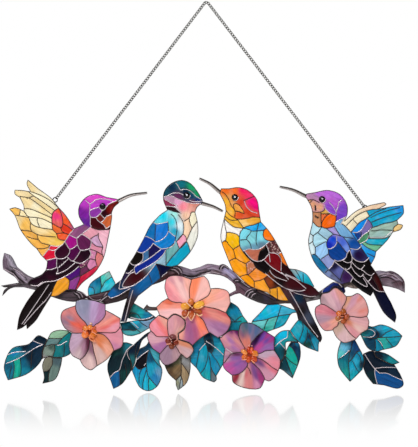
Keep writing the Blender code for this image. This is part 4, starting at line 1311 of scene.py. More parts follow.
add_leaf("leaf_04", {
    "sea blue": ("1580A8", (95, 285)),
    "teal blue": ("18889C", (98, 289)),
    "sky spot": ("20A8D8", (90.8, 290.5)),
    "aqua": ("30A8B8", (91, 293)),
    "deep blue": ("0A6488", (97.5, 281)),
    "mint": ("48C8BC", (103.5, 278)),
    "grey mint": ("7CB8B0", (108, 275)),
    "cyan": ("10C4D4", (107, 284), (108, 282)),
    "light cyan": ("30C8E0", (111, 282)),
    "soft cyan": ("40B4C8", (104, 289)),
}, (
    ((100.3, 275.5), (100.8, 281), (101.7, 287)),
    ((112.5, 276.3), (108.5, 279), (105.3, 281.3), (103.5, 284), (101.8, 287.5), (100.3, 290.3),
     (100.7, 293)),
    ((87.5, 288), (90, 287), (93.5, 288.5), (94.7, 295)),
))

add_leaf("leaf_05", {
    "sea green": ("208888", (135, 308)),
    "aqua": ("18A0A8", (141, 313)),
    "sea blue": ("0878A0", (146, 315)),
    "dark green": ("0C3C3C", (132, 315)),
    "twig brown": ("5C4844", (147, 306.5), (153, 307.4)),
}, (((129, 313.5), (133, 313), (137.5, 314.5), (141, 319)), ((142.5, 306), (146.5, 312))), (
    ((130.5, 317.3), (137, 318.8), (143, 319.3), (149, 318), (154, 315.5)),
))

add_leaf("leaf_06", {
    "petrol": ("0A5060", (126, 326)),
    "dark petrol": ("083C48", (130, 328)),
    "bright cyan": ("20B4D4", (134, 322)),
    "grey blue": ("7C9EC0", (147, 323)),
    "sea blue": ("1880A0", (139, 327)),
    "soft teal": ("3898A0", (130, 332)),
    "mist": ("64ACB8", (141, 331)),
}, (
    ((127, 320), (129, 321.5), (133, 325.5), (137, 329.5), (141, 333)),
    ((138.5, 319.8), (142, 323.5), (147, 326.5)),
    ((123, 330), (129, 330), (134, 330.5), (137, 329.5)),
), (((129.5, 320.5), (134, 323.8), (138.5, 328)),))

add_leaf("leaf_07", {
    "black teal": ("0A1F28", (112, 362), (118, 357), (124, 366)),
    "dark green": ("0F3A38", (116, 353), (125, 374)),
    "deep blue": ("0C5A90", (114, 380), (116, 376)),
    "sea green": ("1A7080", (128, 344)),
}, (
    ((119.5, 370), (120, 380), (120, 386)),
    ((125, 364), (126.5, 372), (126.5, 379)),
), (
    ((109.5, 378), (114, 373), (119.5, 369.5), (122, 361), (125, 354), (127, 350), (131.5, 346),
     (136, 343.8)),
    ((127.2, 350.5), (127.6, 355), (130.5, 361)),
))

add_leaf("leaf_08", {
    "ink blue": ("0A1C30", (132, 350), (135, 347)),
    "dark teal": ("1A5A60", (133, 360)),
}, (((137, 345), (135.5, 352), (135, 358)),))

add_leaf("leaf_09", {
    "black": ("0A0A14", (142, 360), (140, 364)),
    "ink blue": ("0C3450", (147, 346), (141, 350)),
    "grey teal": ("40A0B0", (154, 354)),
    "deep cyan": ("1098B8", (152, 367), (151, 373)),
    "sea blue": ("1078B0", (155, 376)),
    "deep sea": ("104C6C", (150, 359)),
    "aqua": ("18B0B8", (150, 387)),
    "bright cyan": ("18B0D0", (145.5, 382)),
    "soft blue": ("1890C0", (137, 372)),
    "cyan": ("10A0C0", (141, 378)),
    "grey blue": ("6898B8", (159, 373)),
}, (
    ((148.5, 350.5), (146.8, 357), (146.3, 364), (147, 371), (149, 377.5), (157, 386.5)),
    ((135.5, 366), (138.5, 369), (142, 368.5), (146.5, 366)),
    ((142, 368.5), (139.5, 374), (139, 383)),
    ((146.5, 370), (144.3, 377), (143, 383), (142.8, 390)),
    ((149, 377), (148.3, 383), (148.5, 391)),
    ((149.5, 350.5), (155, 361), (161.5, 368)),
), (
    ((136.5, 360), (142, 355), (148.5, 350.5)),
    ((144, 365.5), (146, 363.3)),
))

add_leaf("leaf_10", {
    "black green": ("20241C", (170, 364)),
    "olive": ("5C5C40", (177, 362)),
    "brown": ("7A6040", (175, 371), (179, 367)),
    "dark brown": ("5C4430", (171, 373)),
    "tan": ("A08868", (185, 374), (186, 380)),
    "lavender grey": ("8A8A8C", (185, 362)),
    "sand": ("8C8C70", (178, 383)),
    "blue grey": ("A0B0B8", (181.3, 383)),
}, (
    ((181, 358), (181.3, 366), (181.3, 371), (181, 376), (182.5, 380), (183, 387)),
    ((181, 375), (178, 378), (175.5, 381)),
    ((181.3, 363), (185, 368), (187.5, 371.5), (190, 377)),
    ((181.5, 377), (180.5, 381), (179, 388)),
))

add_leaf("leaf_11", {
    "petrol": ("0E7894", (200, 338), (196, 344)),
    "deep blue": ("0E6C94", (197, 349)),
    "sea blue": ("108CB0", (194, 356)),
    "teal blue": ("1094B0", (202, 354), (201, 366)),
    "aqua": ("10A0A8", (207, 375)),
    "cyan": ("14A0BC", (207.5, 366)),
    "black": ("0C0C18", (209, 341), (210, 348)),
    "ink": ("0C2038", (208, 336)),
    "sea green": ("1080A0", (217, 341)),
    "bright teal": ("1098A8", (221, 347)),
    "soft blue": ("2090B8", (217, 356)),
    "deep cyan": ("0C84AC", (213, 362), (215, 369)),
    "light teal": ("20A0B0", (222, 362)),
    "tip grey": ("607078", (213.5, 378)),
}, (
    ((206.3, 333), (204.5, 338), (205.5, 343.3), (207, 347), (208, 351), (212, 352), (213.5, 346)),
    ((213.5, 346), (212.5, 340), (210, 334)),
    ((199.3, 350.5), (198, 357), (197, 362), (196, 369)),
    ((208, 350.5), (207.8, 356), (206.3, 363), (204, 369), (199.5, 374)),
    ((209, 356), (210.5, 364), (210.8, 371), (210.8, 380)),
    ((210, 351.5), (213, 356), (217.5, 362), (221, 369.5)),
    ((211, 367), (213, 372), (216.5, 377)),
), (
    ((206, 341), (210, 343.5), (213.8, 346.3)),
    ((205.5, 343.3), (202, 347), (199.3, 350.5)),
    ((213.8, 346.3), (218, 349.5), (223.5, 355)),
))

add_leaf("leaf_12", {
    "ink teal": ("0C4C60", (232, 306)),
    "sea blue": ("1080A8", (237, 312), (231, 313)),
    "light teal": ("20A0A8", (227, 312)),
    "teal": ("2284A0", (234, 318)),
    "green teal": ("18A0A0", (242, 319)),
    "petrol": ("0C7890", (234, 325)),
}, (
    ((228, 321.3), (235, 322), (241, 321.3)),
    ((225.5, 313.5), (230, 317), (235.5, 322)),
    ((235.5, 321), (240, 317), (246, 316)),
))

add_leaf("leaf_13", {
    "cyan": ("10B4E0", (270, 308), (260, 315)),
    "soft cyan": ("40B0D0", (286, 309)),
    "aqua": ("18C0D8", (264, 312)),
    "pale aqua": ("70D0D0", (257, 323), (262, 323)),
    "mint": ("30B0A0", (267, 329)),
    "light mint": ("50C0B8", (273, 320)),
    "teal": ("10A0B8", (283, 321)),
}, (
    ((250.5, 321.7), (258, 320.8), (264, 320), (271, 318), (277, 316.3), (284, 315), (293, 313.8)),
    ((281.3, 305.3), (279.5, 311), (278, 316.3)),
    ((278, 316.3), (276, 322), (273.5, 329.5)),
    ((268.5, 318.8), (266, 323), (264, 329)),
))

add_leaf("leaf_14", {
    "cyan": ("10A8C0", (299, 328), (299, 333)),
    "teal": ("0C8CA8", (304.5, 331), (303, 338)),
    "black green": ("103830", (309, 344), (306, 345)),
    "sea blue": ("1890B0", (314, 341), (316, 346)),
    "ink blue": ("0C2C4C", (309, 337)),
}, (
    ((302.5, 322), (303, 329), (301.5, 334), (299.5, 339.5)),
    ((307.5, 330), (307, 337), (304, 344)),
    ((308.5, 333), (311, 341), (315, 350)),
))

add_leaf("leaf_15", {
    "cyan": ("10B8E0", (280, 336), (283, 334)),
    "aqua": ("18A8C0", (277, 341)),
    "teal": ("108890", (283, 341)),
    "dark teal": ("0C5868", (279, 350)),
    "ink teal": ("083C48", (283, 351)),
}, (((286.5, 337.5), (285.5, 344), (285, 350), (284, 357)),), (
    ((274.8, 346.5), (279, 342.5), (284, 339), (287, 337.3), (287.8, 331)),
    ((279.5, 342.3), (285, 348.5)),
))

add_leaf("leaf_16", {
    "sea blue": ("2090C0", (291, 335)),
    "deep blue": ("10688C", (297.5, 343)),
    "black": ("0A0C18", (290, 342)),
    "ink": ("0A2440", (295, 348)),
    "navy teal": ("0A3C5C", (299, 354)),
    "green": ("10A090", (290, 352), (293, 358)),
    "sea green": ("109C98", (292, 367), (293, 372)),
    "dark green": ("0A3C48", (284, 364), (286, 369)),
    "grey teal": ("508090", (285, 374)),
}, (
    ((285.5, 346), (288, 345.5), (292, 348), (296, 355), (298, 362), (296.5, 370)),
    ((285.5, 346), (285.8, 357), (288, 364), (290.5, 371), (293.5, 378)),
    ((286.5, 357), (290, 361), (298, 366)),
    ((287.5, 338.5), (291, 340.5), (294, 342.5), (295, 346)),
    ((293, 330), (294, 336), (297, 341)),
), (((281, 360.7), (285.7, 355)),))

add_leaf("leaf_17", {
    "pale leaf blue": ("98BCC4", (295, 271)),
    "cyan": ("30C0E0", (301, 277)),
    "teal cyan": ("18B0C8", (308, 281)),
}, (
    ((303, 273.5), (303.3, 280), (304, 287)),
    ((295.5, 270), (299, 276), (302, 283)),
))

add_leaf("leaf_18", {
    "petrol": ("0C6878", (368, 334)),
    "grey teal": ("208C90", (363, 335)),
    "ink": ("0C2038", (377, 334), (370, 338.5)),
    "cyan": ("18A8C8", (386, 329)),
    "soft blue": ("2890B4", (379, 328)),
    "bright cyan": ("18A0C0", (394, 333)),
    "green aqua": ("28A8A0", (384, 341), (383, 345)),
    "teal": ("1090A8", (396, 340), (393, 342)),
    "sea blue": ("1080A0", (379, 346)),
    "deep blue": ("0A3C58", (372, 344), (367, 341)),
}, (
    ((371, 327.5), (376, 330), (378.5, 335), (376.5, 338.5)),
    ((364, 336.5), (370, 338), (376.5, 338.5)),
    ((376.5, 338), (385, 337.3), (393, 337), (403, 336)),
    ((380.5, 337.7), (384, 334.5), (387, 332), (394, 329.3)),
    ((376.3, 338.5), (380, 343), (383.5, 349)),
    ((375, 338.5), (375.5, 345), (375, 350.5)),
    ((386, 338.5), (389, 342), (393, 347)),
), (
    ((362.5, 331.5), (367, 329.3), (372, 330), (375, 333), (373.5, 336), (369, 337.3), (363, 336.5)),
    ((377.5, 339.7), (380.5, 342.3), (382.5, 346)),
))

add_leaf("leaf_19", {
    "light blue": ("60B0D0", (345, 348)),
    "aqua": ("50B8B8", (341, 354)),
    "petrol": ("0A5A70", (346, 357)),
    "sea green": ("107C88", (342, 364)),
    "deep blue": ("0C3C70", (355, 344), (357, 349)),
    "ink teal": ("0C4868", (352, 352)),
    "sea blue": ("1880A0", (359, 357)),
    "cyan": ("18A0C0", (357, 362), (353, 367)),
    "teal": ("10A0B0", (353, 375)),
    "green": ("209890", (346, 374)),
    "ink": ("0C2438", (362, 364)),
}, (
    ((352.5, 340), (351.5, 347), (349.5, 354), (348.7, 362), (349, 370), (350, 381)),
    ((338.5, 359.5), (344, 355.5), (348, 352.5), (350, 351)),
    ((349, 362), (353, 357.5), (356, 353), (357.5, 351.5), (362.5, 350.8)),
    ((352.5, 361), (356.5, 369), (359, 372)),
    ((356.5, 352.5), (360.5, 358), (360.8, 368)),
), (((340.5, 357.8), (345, 354.5), (349.5, 350)),))

add_leaf("leaf_20", {
    "ink": ("0C1828", (372, 353), (380, 356)),
    "sea green": ("188890", (391, 358)),
    "dark teal": ("0C3C4C", (386, 355)),
})

add_leaf("leaf_21", {
    "ink": ("0A1828", (376, 361), (368, 368), (385, 370)),
    "dark teal": ("0C2438", (388, 364), (392, 371)),
    "deep blue": ("0E4C88", (384, 377), (396, 383)),
    "black teal": ("0A2830", (371, 375)),
}, (), (
    ((364.8, 354), (369, 361), (373, 366.5), (376, 370), (380, 373.3)),
    ((374.5, 368.3), (385, 367.3), (396, 367.5)),
    ((380, 373), (387, 373.3), (394, 376.5), (403, 380.5)),
    ((374.8, 369), (375, 375), (377.3, 384)),
    ((377, 357.3), (383, 359.5), (389, 362.5)),
))

add_leaf("leaf_over_branch", {
    "royal": ("142A78", (326, 287), (330, 286)),
    "blue black": ("0A0C30", (322, 289)),
    "navy": ("0C1C60", (336, 284)),
    "night": ("080A28", (340, 286)),
}, (((330, 290), (334, 286), (341.5, 287.5)),), (
    ((322, 293), (322.3, 290.5), (324, 287.8)),
    ((332, 281.8), (338, 283), (342, 287)),
))


# The branch and the claws
# One bent band of cast metal with a brown and lilac patina. Its edges are rounded, and its bark is
# chased into the face in lines along its length. The claws are wires bent over it and soldered.

BARK_GRID = 0.0005
BARK_REACH = 0.0004
BARK_ROUND = 0.0024
BARK_DROP = 0.0011
BACK_DROP = 0.0004
CHASED_WIDTH = 0.00045
CHASED_DEPTH = 0.00016
FURROW_PITCH = 0.0018
FURROW_DEPTH = 0.00007
FURROW_WAVE = 0.009
CLAW_FRONT = -0.0007
CLAW_RADIUS = 0.00032
DARK_WIRE_WIDER = 1.6
FOOT_RADIUS = 0.001
ROD_SIDES = 8
ROD_STEP = 4 * LINE_STEP
ROD_END = 0.6
FURROW_SWAY = 1.6
FURROW_PAINTED_SHADE = 0.14
EDGE_PAINTED_SHADE = 0.35
GROOVE_SHADE = 0.8
RIDGE_PAINTED_HIGHLIGHT = 0.65

BRANCH_SPINES = (
    ((8, 257), (7, 265), (14, 273), (22, 281), (32, 284.5), (48, 290), (66, 295), (84, 297.5), (104, 299),
     (122, 293), (142, 284), (160, 276), (178, 270.5), (196, 273), (212, 269), (226, 272), (240, 283),
     (254, 293), (270, 300), (290, 302), (311, 298), (330, 290), (350, 285), (370, 280), (386, 276.5),
     (396, 280), (402, 290)),
    ((2, 286.2), (12, 286), (24, 284.8)),
    ((3, 294), (9, 288.5), (14, 286.5)),
)
BRANCH_GROOVES = (
    ((7, 268), (13, 273), (19, 278.5), (25, 283.5)),
    ((10, 266.5), (17, 270), (23, 275), (27, 280)),
    ((3, 286), (12, 286.2), (22, 284.8), (32, 284.5)),
    ((60, 296.5), (68, 297.8), (78, 297.5)),
    ((57, 292), (64, 290.5), (72, 291.2)),
    ((184, 274.5), (190, 276.6), (196, 275.5), (201, 272.5)),
    ((196, 271.5), (202, 270.3), (209, 269.8), (215, 270.2), (222, 273)),
    ((204, 272.8), (213, 272.6), (222, 275.5), (230, 280.5)),
    ((226, 274), (232, 279), (236, 283)),
    ((238, 281), (243, 285), (250, 288.5)),
    ((240, 287), (245, 291), (251, 296)),
    ((344.5, 286.5), (348, 284.8), (352, 284.6), (353.5, 287)),
    ((378.5, 277), (383, 274.8), (387, 272.8)),
    ((390, 272.6), (396, 275), (401.5, 279.5), (403.2, 288)),
    ((392, 283), (397, 281.5), (401, 280.5)),
)
BRANCH_RIDGES = (
    ((6.5, 256.5), (10, 261), (12.5, 265.5), (15.5, 267)),
    ((20, 274), (23, 279), (27, 282.5)),
    ((16, 271.5), (21, 275.5), (25, 279)),
    ((208, 269), (214, 268.6), (220, 270.5)),
    ((224, 271), (229, 274.5), (233, 279)),
    ((210, 274.3), (217, 275.3), (225, 279.5)),
    ((379.5, 278.5), (384, 276.3), (388.5, 274)),
    ((394, 274.3), (398.5, 276.8), (402, 281)),
    ((392, 277), (396, 279.3), (400, 279.6)),
)
BRANCH_SHADES = {
    "grey tip": ("8E8894", (12, 261), (14.5, 265)),
    "mauve tip": ("665262", (5, 262), (6, 268)),
    "brown stub": ("4E3C46", (24, 281), (30, 284.5)),
    "dark stub": ("3A2E38", (14, 272)),
    "worn stub": ("857684", (22, 274.5), (28, 279), (20, 270.5)),
    "dark twig": ("2E2428", (8, 286), (20, 284.5), (6, 291)),
    "grey underside": ("6A6068", (20, 288), (34, 289.5), (46, 295)),
    # The darkest tones under the left bird and its claws are painted shadow.
    "painted shadow under the left bird": ("2A1820", (60, 298), (70, 291), (58, 292)),
    "dark knuckle": ("46343E", (66, 294.5), (72, 295)),
    "wine brown": ("381824", (92, 296.5), (99, 296.5)),
    "plum shadow": ("301420", (109, 296)),
    "dark brown": ("2C1C20", (116, 298), (126, 295), (146, 286), (156, 283)),
    "russet": ("5A2C2C", (166, 277)),
    "claw brown": ("5C4048", (172, 272)),
    "deep russet": ("3C1A1C", (176, 274)),
    "grey lilac": ("7A6A7C", (186, 270.5), (194, 272.5), (203, 268), (211, 266.5)),
    "lilac": ("7E687C", (216, 267), (208, 266)),
    "deep line": ("2E2028", (192, 277)),
    "lower brown": ("70565C", (206, 273), (216, 272.5), (226, 277)),
    "lavender": ("A096BC", (228, 271.5), (232, 275.5)),
    "dusky mauve": ("5C4252", (241, 284), (246, 288)),
    "plum brown": ("5E3C4A", (238, 288), (242, 292), (234, 283)),
    "black brown": ("1E1418", (262, 299), (272, 299.5), (284, 301.5), (254, 297.5)),
    "bronze": ("6A5040", (284, 302.5)),
    "violet black": ("2C2038", (266, 297)),
    "ash": ("8A8084", (306, 301), (316, 298.5)),
    "soot": ("241C1C", (312, 297), (322, 293)),
    "tan grey": ("8A7870", (346, 285), (352, 285)),
    "mauve stub": ("624A58", (384, 279), (392, 277), (398, 280), (386, 275.5)),
    "grey stub": ("8C8090", (379, 273.5), (384, 273)),
    "wine stub": ("54363F", (396, 282), (401, 283)),
    "stub underside": ("7C6C76", (390, 284), (402, 289), (380, 283)),
}
# Wires soldered on the branch: the first rows are seams along its bark, and the rest are claws.
DARK_WIRES = (
    ((11.5, 270.5), (17.5, 277), (24, 283)),
    ((182, 274), (188, 276), (196, 275.3), (203, 272.5), (211, 270.5)),
    ((378, 278.5), (386, 277), (394, 280)),
    ((73.5, 293.5), (76.5, 295.5), (78.5, 299)),
    ((75.5, 292), (79.3, 294), (81.5, 298)),
    ((78, 291), (82, 293), (84.5, 296.5)),
    ((110, 294.5), (105, 299), (101, 303.5)),
    ((108, 293.5), (103, 297.5), (98.5, 302)),
    ((172.5, 266), (177, 266.8), (181, 269), (182.5, 272)),
    ((171, 268), (176, 268.8), (179, 271), (180.5, 274)),
    ((169, 270.5), (173, 271), (176.5, 273.5)),
    ((219, 269.5), (220.5, 266), (224, 264.8), (228, 267)),
    ((222, 269), (223.5, 267), (226, 267.5), (228.5, 269.5)),
    ((233.5, 280.5), (236, 279), (239, 280.5), (240, 283)),
    ((236, 282.5), (239, 281.5), (243, 283.5), (247, 287)),
    ((245.5, 296), (248.5, 292), (252, 290.3), (257, 290.6)),
    ((249, 297.5), (251.5, 293.5), (255, 291.8), (259, 293.5), (262, 296)),
    ((253, 297.8), (256, 294.8), (260, 296.5)),
)
PALE_WIRES = (
    ((3.5, 268.5), (9, 271.5), (14, 274.5), (19, 281)),
    ((13, 268.5), (19, 271.5), (25, 276.5)),
    ((184.5, 276.3), (190, 278), (197, 277.3), (204, 274.3), (212, 272), (220, 274)),
    ((377, 275.5), (386, 273.6), (394, 275.2), (401, 280.5)),
    ((74.5, 292.8), (78, 294.8), (80, 298.5)),
    ((76.5, 291.3), (80.5, 293.3), (83, 297.3)),
    ((79, 290.8), (83, 292.8), (86, 295.5)),
    ((107.5, 296), (102, 300), (99, 303.5)),
    ((89, 296.5), (92.5, 299.3), (97.5, 300.3), (102, 298.5), (107, 292.5)),
    ((173.5, 267), (177.5, 267.8), (180.5, 270.3), (181.5, 273)),
    ((171, 269.3), (175, 270), (178, 272.5), (179, 274.5)),
    ((220.5, 269.5), (222, 266.5), (225, 265.8), (228, 268)),
    ((235, 280.8), (237.5, 280.3), (239.5, 282)),
    ((241, 281), (246, 285), (250, 287.5)),
    ((244.5, 295.5), (247, 291.5), (252, 289), (257, 289), (261, 292)),
    ((247.5, 297), (250, 292.7), (253.5, 291)),
    ((251, 297.7), (253, 294.7), (256, 293.3)),
)
FOOT = ((257.5, 290.3), (263, 292.7), (269, 295.7), (276.5, 299.8))


def laid_along(flat, spines):
    """How far each place is across and along the nearest of the branch's middle lines."""
    spots = []
    ways = []
    travelled = []
    for spine in spines:
        length = 0
        for a, b in zip(spine, spine[1:]):
            spots.append(a)
            ways.append((b - a).normalized())
            travelled.append(length)
            length += (b - a).length
    near = tree_of(spots)
    laid = np.zeros((len(flat), 2))
    for i, (x, z) in enumerate(flat):
        number = near.find((x, z, 0))[1]
        off = Vector((x, z)) - spots[number]
        laid[i] = (off.cross(ways[number]), travelled[number] + off.dot(ways[number]))
    return laid


def add_branch():
    """The branch, with rounded edges and its bark lines chased into the front."""
    loop, front, rear = plate_outline("branch")
    loop = inset(loop, -BARK_REACH)
    spines = [curve_through(line) for line in BRANCH_SPINES]
    grooves = [curve_through(line) for line in BRANCH_GROOVES]
    ridges = [curve_through(line) for line in BRANCH_RIDGES]
    spots, triangles, _, rim = cut_cells(loop, grooves + ridges, BARK_GRID)
    flat = np.array([tuple(spot) for spot in spots])
    corners = np.array(triangles)
    laid = laid_along(flat, spines)
    near_groove, near_ridge = [
        np.exp(-(away_from(flat, [point for run in runs for point in run]) / CHASED_WIDTH) ** 2)
        for runs in (grooves, ridges)
    ]
    sway = FURROW_SWAY * np.sin(laid[:, 1] / FURROW_WAVE)
    furrow = np.sin(math.tau * laid[:, 0] / FURROW_PITCH + sway)
    edge = away_from(flat, finer(loop, LINE_STEP))
    fall = 1 - np.sqrt(1 - (1 - (edge / BARK_ROUND).clip(0, 1)) ** 2)
    face = front + BARK_DROP * fall + CHASED_DEPTH * (near_groove - near_ridge) + FURROW_DEPTH * furrow
    shade = stain(flat, np.zeros(len(flat), dtype=int), BRANCH_SHADES)
    # Painted shade: darker in the furrows' hollows and towards the rounded edges as they fall away, lighter
    # on the furrows' crests.
    shade *= (1 - FURROW_PAINTED_SHADE * furrow - EDGE_PAINTED_SHADE * fall)[:, None]
    shade *= 1 - GROOVE_SHADE * near_groove[:, None]
    # Painted highlight: the raised ridges are lightened towards a pale lilac.
    shade += (np.array(linear("B8A8BC")) - shade) * RIDGE_PAINTED_HIGHLIGHT * near_ridge[:, None]
    piece = closed_plate(
        "branch_bark", flat, corners, rim, face, rear - BACK_DROP * fall, shade[corners], laid[corners],
        linear("4A3A44"), patinated_metal("bark_bronze", roughness=0.45, streak=0.3),
    )
    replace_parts(piece, "branch")


def patinated_metal(name, roughness, streak):
    """Cast metal under a coloured patina, in fine streaks along its grain."""
    material, tree, shader = shaded(name, {"Metallic": 0.35, "Roughness": roughness})
    grain = add_node(tree, "ShaderNodeUVMap", uv_map="grain").outputs["UV"]
    # The UV map is in millimetres: bark streaks are about 0.7 mm wide and 10 mm long.
    stretch = add_node(tree, "ShaderNodeMapping", {"Vector": grain, "Scale": (1.4, 0.1, 1)})
    flow = noise(tree, stretch.outputs[0], 1.0, detail=5.0, distortion=0.4)
    tone = ranged(tree, flow, (0.3, 0.7), (1 - streak, 1 + streak))
    shade = mixed(tree, 1.0, attribute(tree, "stain").outputs["Color"], tone, "MULTIPLY")
    finished(tree, shader, shade, flow, strength=0.5, depth=0.0003)
    return material


def add_rods(name, rods, material):
    """Round rods along flat runs, each (run, depth, radius at each end, colour at each end)."""
    build = bmesh.new()
    tint = build.loops.layers.float_color.new("stain")
    for run, depth, radii, shades in rods:
        ends = [linear(shade) for shade in shades]
        last = len(run) - 1
        rings = []
        for i, place in enumerate(run):
            along = (run[min(i + 1, last)] - run[max(i - 1, 0)]).normalized()
            radius = radii[0] + (radii[1] - radii[0]) * i / last
            if i in (0, last):
                radius *= ROD_END
            side = Vector((-along.y, along.x))
            ring = []
            for step in range(ROD_SIDES):
                turn = math.tau * step / ROD_SIDES
                spot = place + side * radius * math.cos(turn)
                ring.append(build.verts.new((spot.x, depth + radius * math.sin(turn), spot.y)))
            rings.append(ring)
        faces = [build.faces.new(rings[0]), build.faces.new(rings[-1])]
        for near, far in zip(rings, rings[1:]):
            for i in range(ROD_SIDES):
                faces.append(build.faces.new((near[i - 1], near[i], far[i], far[i - 1])))
        reach = {vert: i / last for i, ring in enumerate(rings) for vert in ring}
        for face in faces:
            for corner in face.loops:
                corner[tint] = blended(ends, reach[corner.vert])
    return smooth_piece(name, build, material)


wire_metal = patinated_metal("patinated_wire", roughness=0.35, streak=0.0)
add_branch()
add_rods("claws", [
    (curve_through(line), CLAW_FRONT, (CLAW_RADIUS * wide, CLAW_RADIUS), (shade, shade))
    for lines, wide, shade in ((DARK_WIRES, DARK_WIRE_WIDER, "1C1216"), (PALE_WIRES, 1, "B4A2AC"))
    for line in lines
], wire_metal)
add_rods("foot", [
    (curve_through(FOOT, ROD_STEP), CLAW_FRONT, (FOOT_RADIUS, FOOT_RADIUS), ("4A3030", "2C2036")),
], wire_metal)


# The beaks and the eyes
# A beak is two tapered metal rods soldered side by side, the upper one dark and the lower one pale.
# An eye is a domed bead of black glass with a pale speck of colour on it as a painted glint, over an arc of
# solder that brightens along its length as a painted highlight.

BEAKS = {
    "left": ((118.9, 200.3), (131, 195), (147.3, 192.7)),
    "centre_left": ((202.9, 203.2), (213.5, 206.5), (223, 211.3)),
    "centre_right": ((219.2, 191.1), (210, 183.6), (199.3, 178.3)),
    "right": ((304.8, 195.4), (293, 189.8), (279.5, 186.6)),
}
# Each eye's place, the place of its speck of painted glint, and the colour of that painted highlight.
EYES = {
    "left": ((102.8, 206.3), (102.9, 204.7), "6A5C70"),
    "centre_left": ((186.8, 195.3), (187, 195), "E8E8F4"),
    "centre_right": ((234.8, 197.3), (234.9, 197), "FCF0F4"),
    "right": ((321.9, 199.3), (322.1, 198.7), "D8D0DC"),
}
BEAK_ROOTED = 0.0028
BEAK_APART = 0.9
EYE_STEPS = 10
EYE_SIDES = 28
GLINT_PATCH_RADIUS = 0.0006
EYE_BLACK = "080509"
ARC_REACH = 1.08
ARC_ANGLES = range(-125, 6, 10)
ARC_RADII = (0.0001, 0.00034)


def add_beak(bird, line):
    """One bird's beak, its two rods a little to each side of the middle line."""
    low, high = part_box("beak_" + bird)
    run = stretched(curve_through(line, ROD_STEP), BEAK_ROOTED)[:-1]
    rods = []
    for side, radii, shades in (
        (1, (0.0006, 0.0004), ("382E2A", "2A2420")),
        (-1, (0.00095, 0.00055), ("A89E9A", "A09896")),
    ):
        moved = []
        for i, place in enumerate(run):
            along = (run[min(i + 1, len(run) - 1)] - run[max(i - 1, 0)]).normalized()
            up = Vector((-along.y, along.x)) * math.copysign(1, along.x)
            width = radii[0] + (radii[1] - radii[0]) * i / (len(run) - 1)
            moved.append(place + up * side * width * BEAK_APART)
        rods.append((moved, (low[1] + high[1]) / 2, radii, shades))
    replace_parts(add_rods("beak_" + bird + "_rods", rods, wire_metal), "beak_" + bird)


def black_glass():
    """Polished black glass: a sharp bright glint on a deep black with a trace of violet."""
    material, tree, shader = shaded("polished_black_glass", {
        "Roughness": 0.04, "IOR": 1.52, "Specular IOR Level": 0.15,
    })
    cloud = noise(tree, place_of(tree), 700.0)
    tone = mixed(tree, 0.006, attribute(tree, "stain").outputs["Color"], cloud, "SCREEN")
    finished(tree, shader, tone)
    return material


def add_eye(bird, square, speck, shade, material):
    """A domed bead, turned about the axis that faces the front, with its painted glint and its arc of
    solder, brightened as a painted highlight.
    """
    low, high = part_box("eye_" + bird)
    centre = on_pattern(square)
    radius = (high[0] - low[0]) / 2
    height = high[1] - low[1]
    build = bmesh.new()
    rings = []
    for step in range(EYE_STEPS):
        rise = math.pi / 2 * step / EYE_STEPS
        ring = []
        for side in range(EYE_SIDES):
            turn = math.tau * side / EYE_SIDES
            reach = radius * math.cos(rise)
            spot = centre + Vector((math.cos(turn), math.sin(turn))) * reach
            ring.append(build.verts.new((spot.x, high[1] - height * math.sin(rise), spot.y)))
        rings.append(ring)
    top = build.verts.new((centre.x, low[1], centre.y))
    build.faces.new(rings[0])
    for near, far in zip(rings, rings[1:]):
        for i in range(EYE_SIDES):
            build.faces.new((near[i - 1], near[i], far[i], far[i - 1]))
    for i in range(EYE_SIDES):
        build.faces.new((rings[-1][i - 1], rings[-1][i], top))
    tint = build.loops.layers.float_color.new("stain")
    # Faces near the speck take its colour: a painted glint on the black bead.
    glint_spot = on_pattern(speck)
    for face in build.faces:
        middle = face.calc_center_median()
        near = (Vector((middle.x, middle.z)) - glint_spot).length < GLINT_PATCH_RADIUS and middle.y < high[1]
        for corner in face.loops:
            corner[tint] = (*linear(shade if near else EYE_BLACK), 1)
    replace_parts(smooth_piece("eye_" + bird + "_bead", build, material), "eye_" + bird)
    # The arc is solder wire, paler and brighter along its length as a painted highlight where light catches
    # the eye's rim.
    arc = [
        centre + Vector((math.cos(turn), math.sin(turn))) * radius * ARC_REACH
        for turn in (math.radians(angle) for angle in ARC_ANGLES)
    ]
    add_rods("eye_" + bird + "_arc", [(arc, high[1], ARC_RADII, ("A8989C", "F4ECEE"))], wire_metal)


for bird, line in BEAKS.items():
    add_beak(bird, line)
eye_glass = black_glass()
for bird, (square, speck, shade) in EYES.items():
    add_eye(bird, square, speck, shade, eye_glass)


# The flowers' middles
# Drops of amber, orange and dark red glass, fused in the flame into a low heap on the petals, with
# threads of pale glass melted along their edges. A low dark disc under the drops is painted shade in
# the gaps between them.

BEAD_SIDES = 14
BEAD_RINGS = 8
BEAD_RISE = 0.0009
BEAD_FULLNESS = 0.36
BEAD_PLUMPNESS = 1.12
BASE_FULLNESS = 0.1
THREAD_RADII = (0.00038, 0.000456)


def fused_glass():
    """Flame-worked glass: even colour in each drop, a wet gloss and faint swirls."""
    material, tree, shader = shaded("fused_bead_glass", {
        "Roughness": 0.14, "IOR": 1.5, "Specular IOR Level": 0.35,
    })
    # Swirls of melted glass are about 1.2 mm apart.
    swirl = noise(tree, place_of(tree), 850.0, distortion=1.2)
    tone = ranged(tree, swirl, (0.3, 0.7), (0.8, 1.12))
    finished(tree, shader, mixed(tree, 1.0, attribute(tree, "stain").outputs["Color"], tone, "MULTIPLY"))
    return material


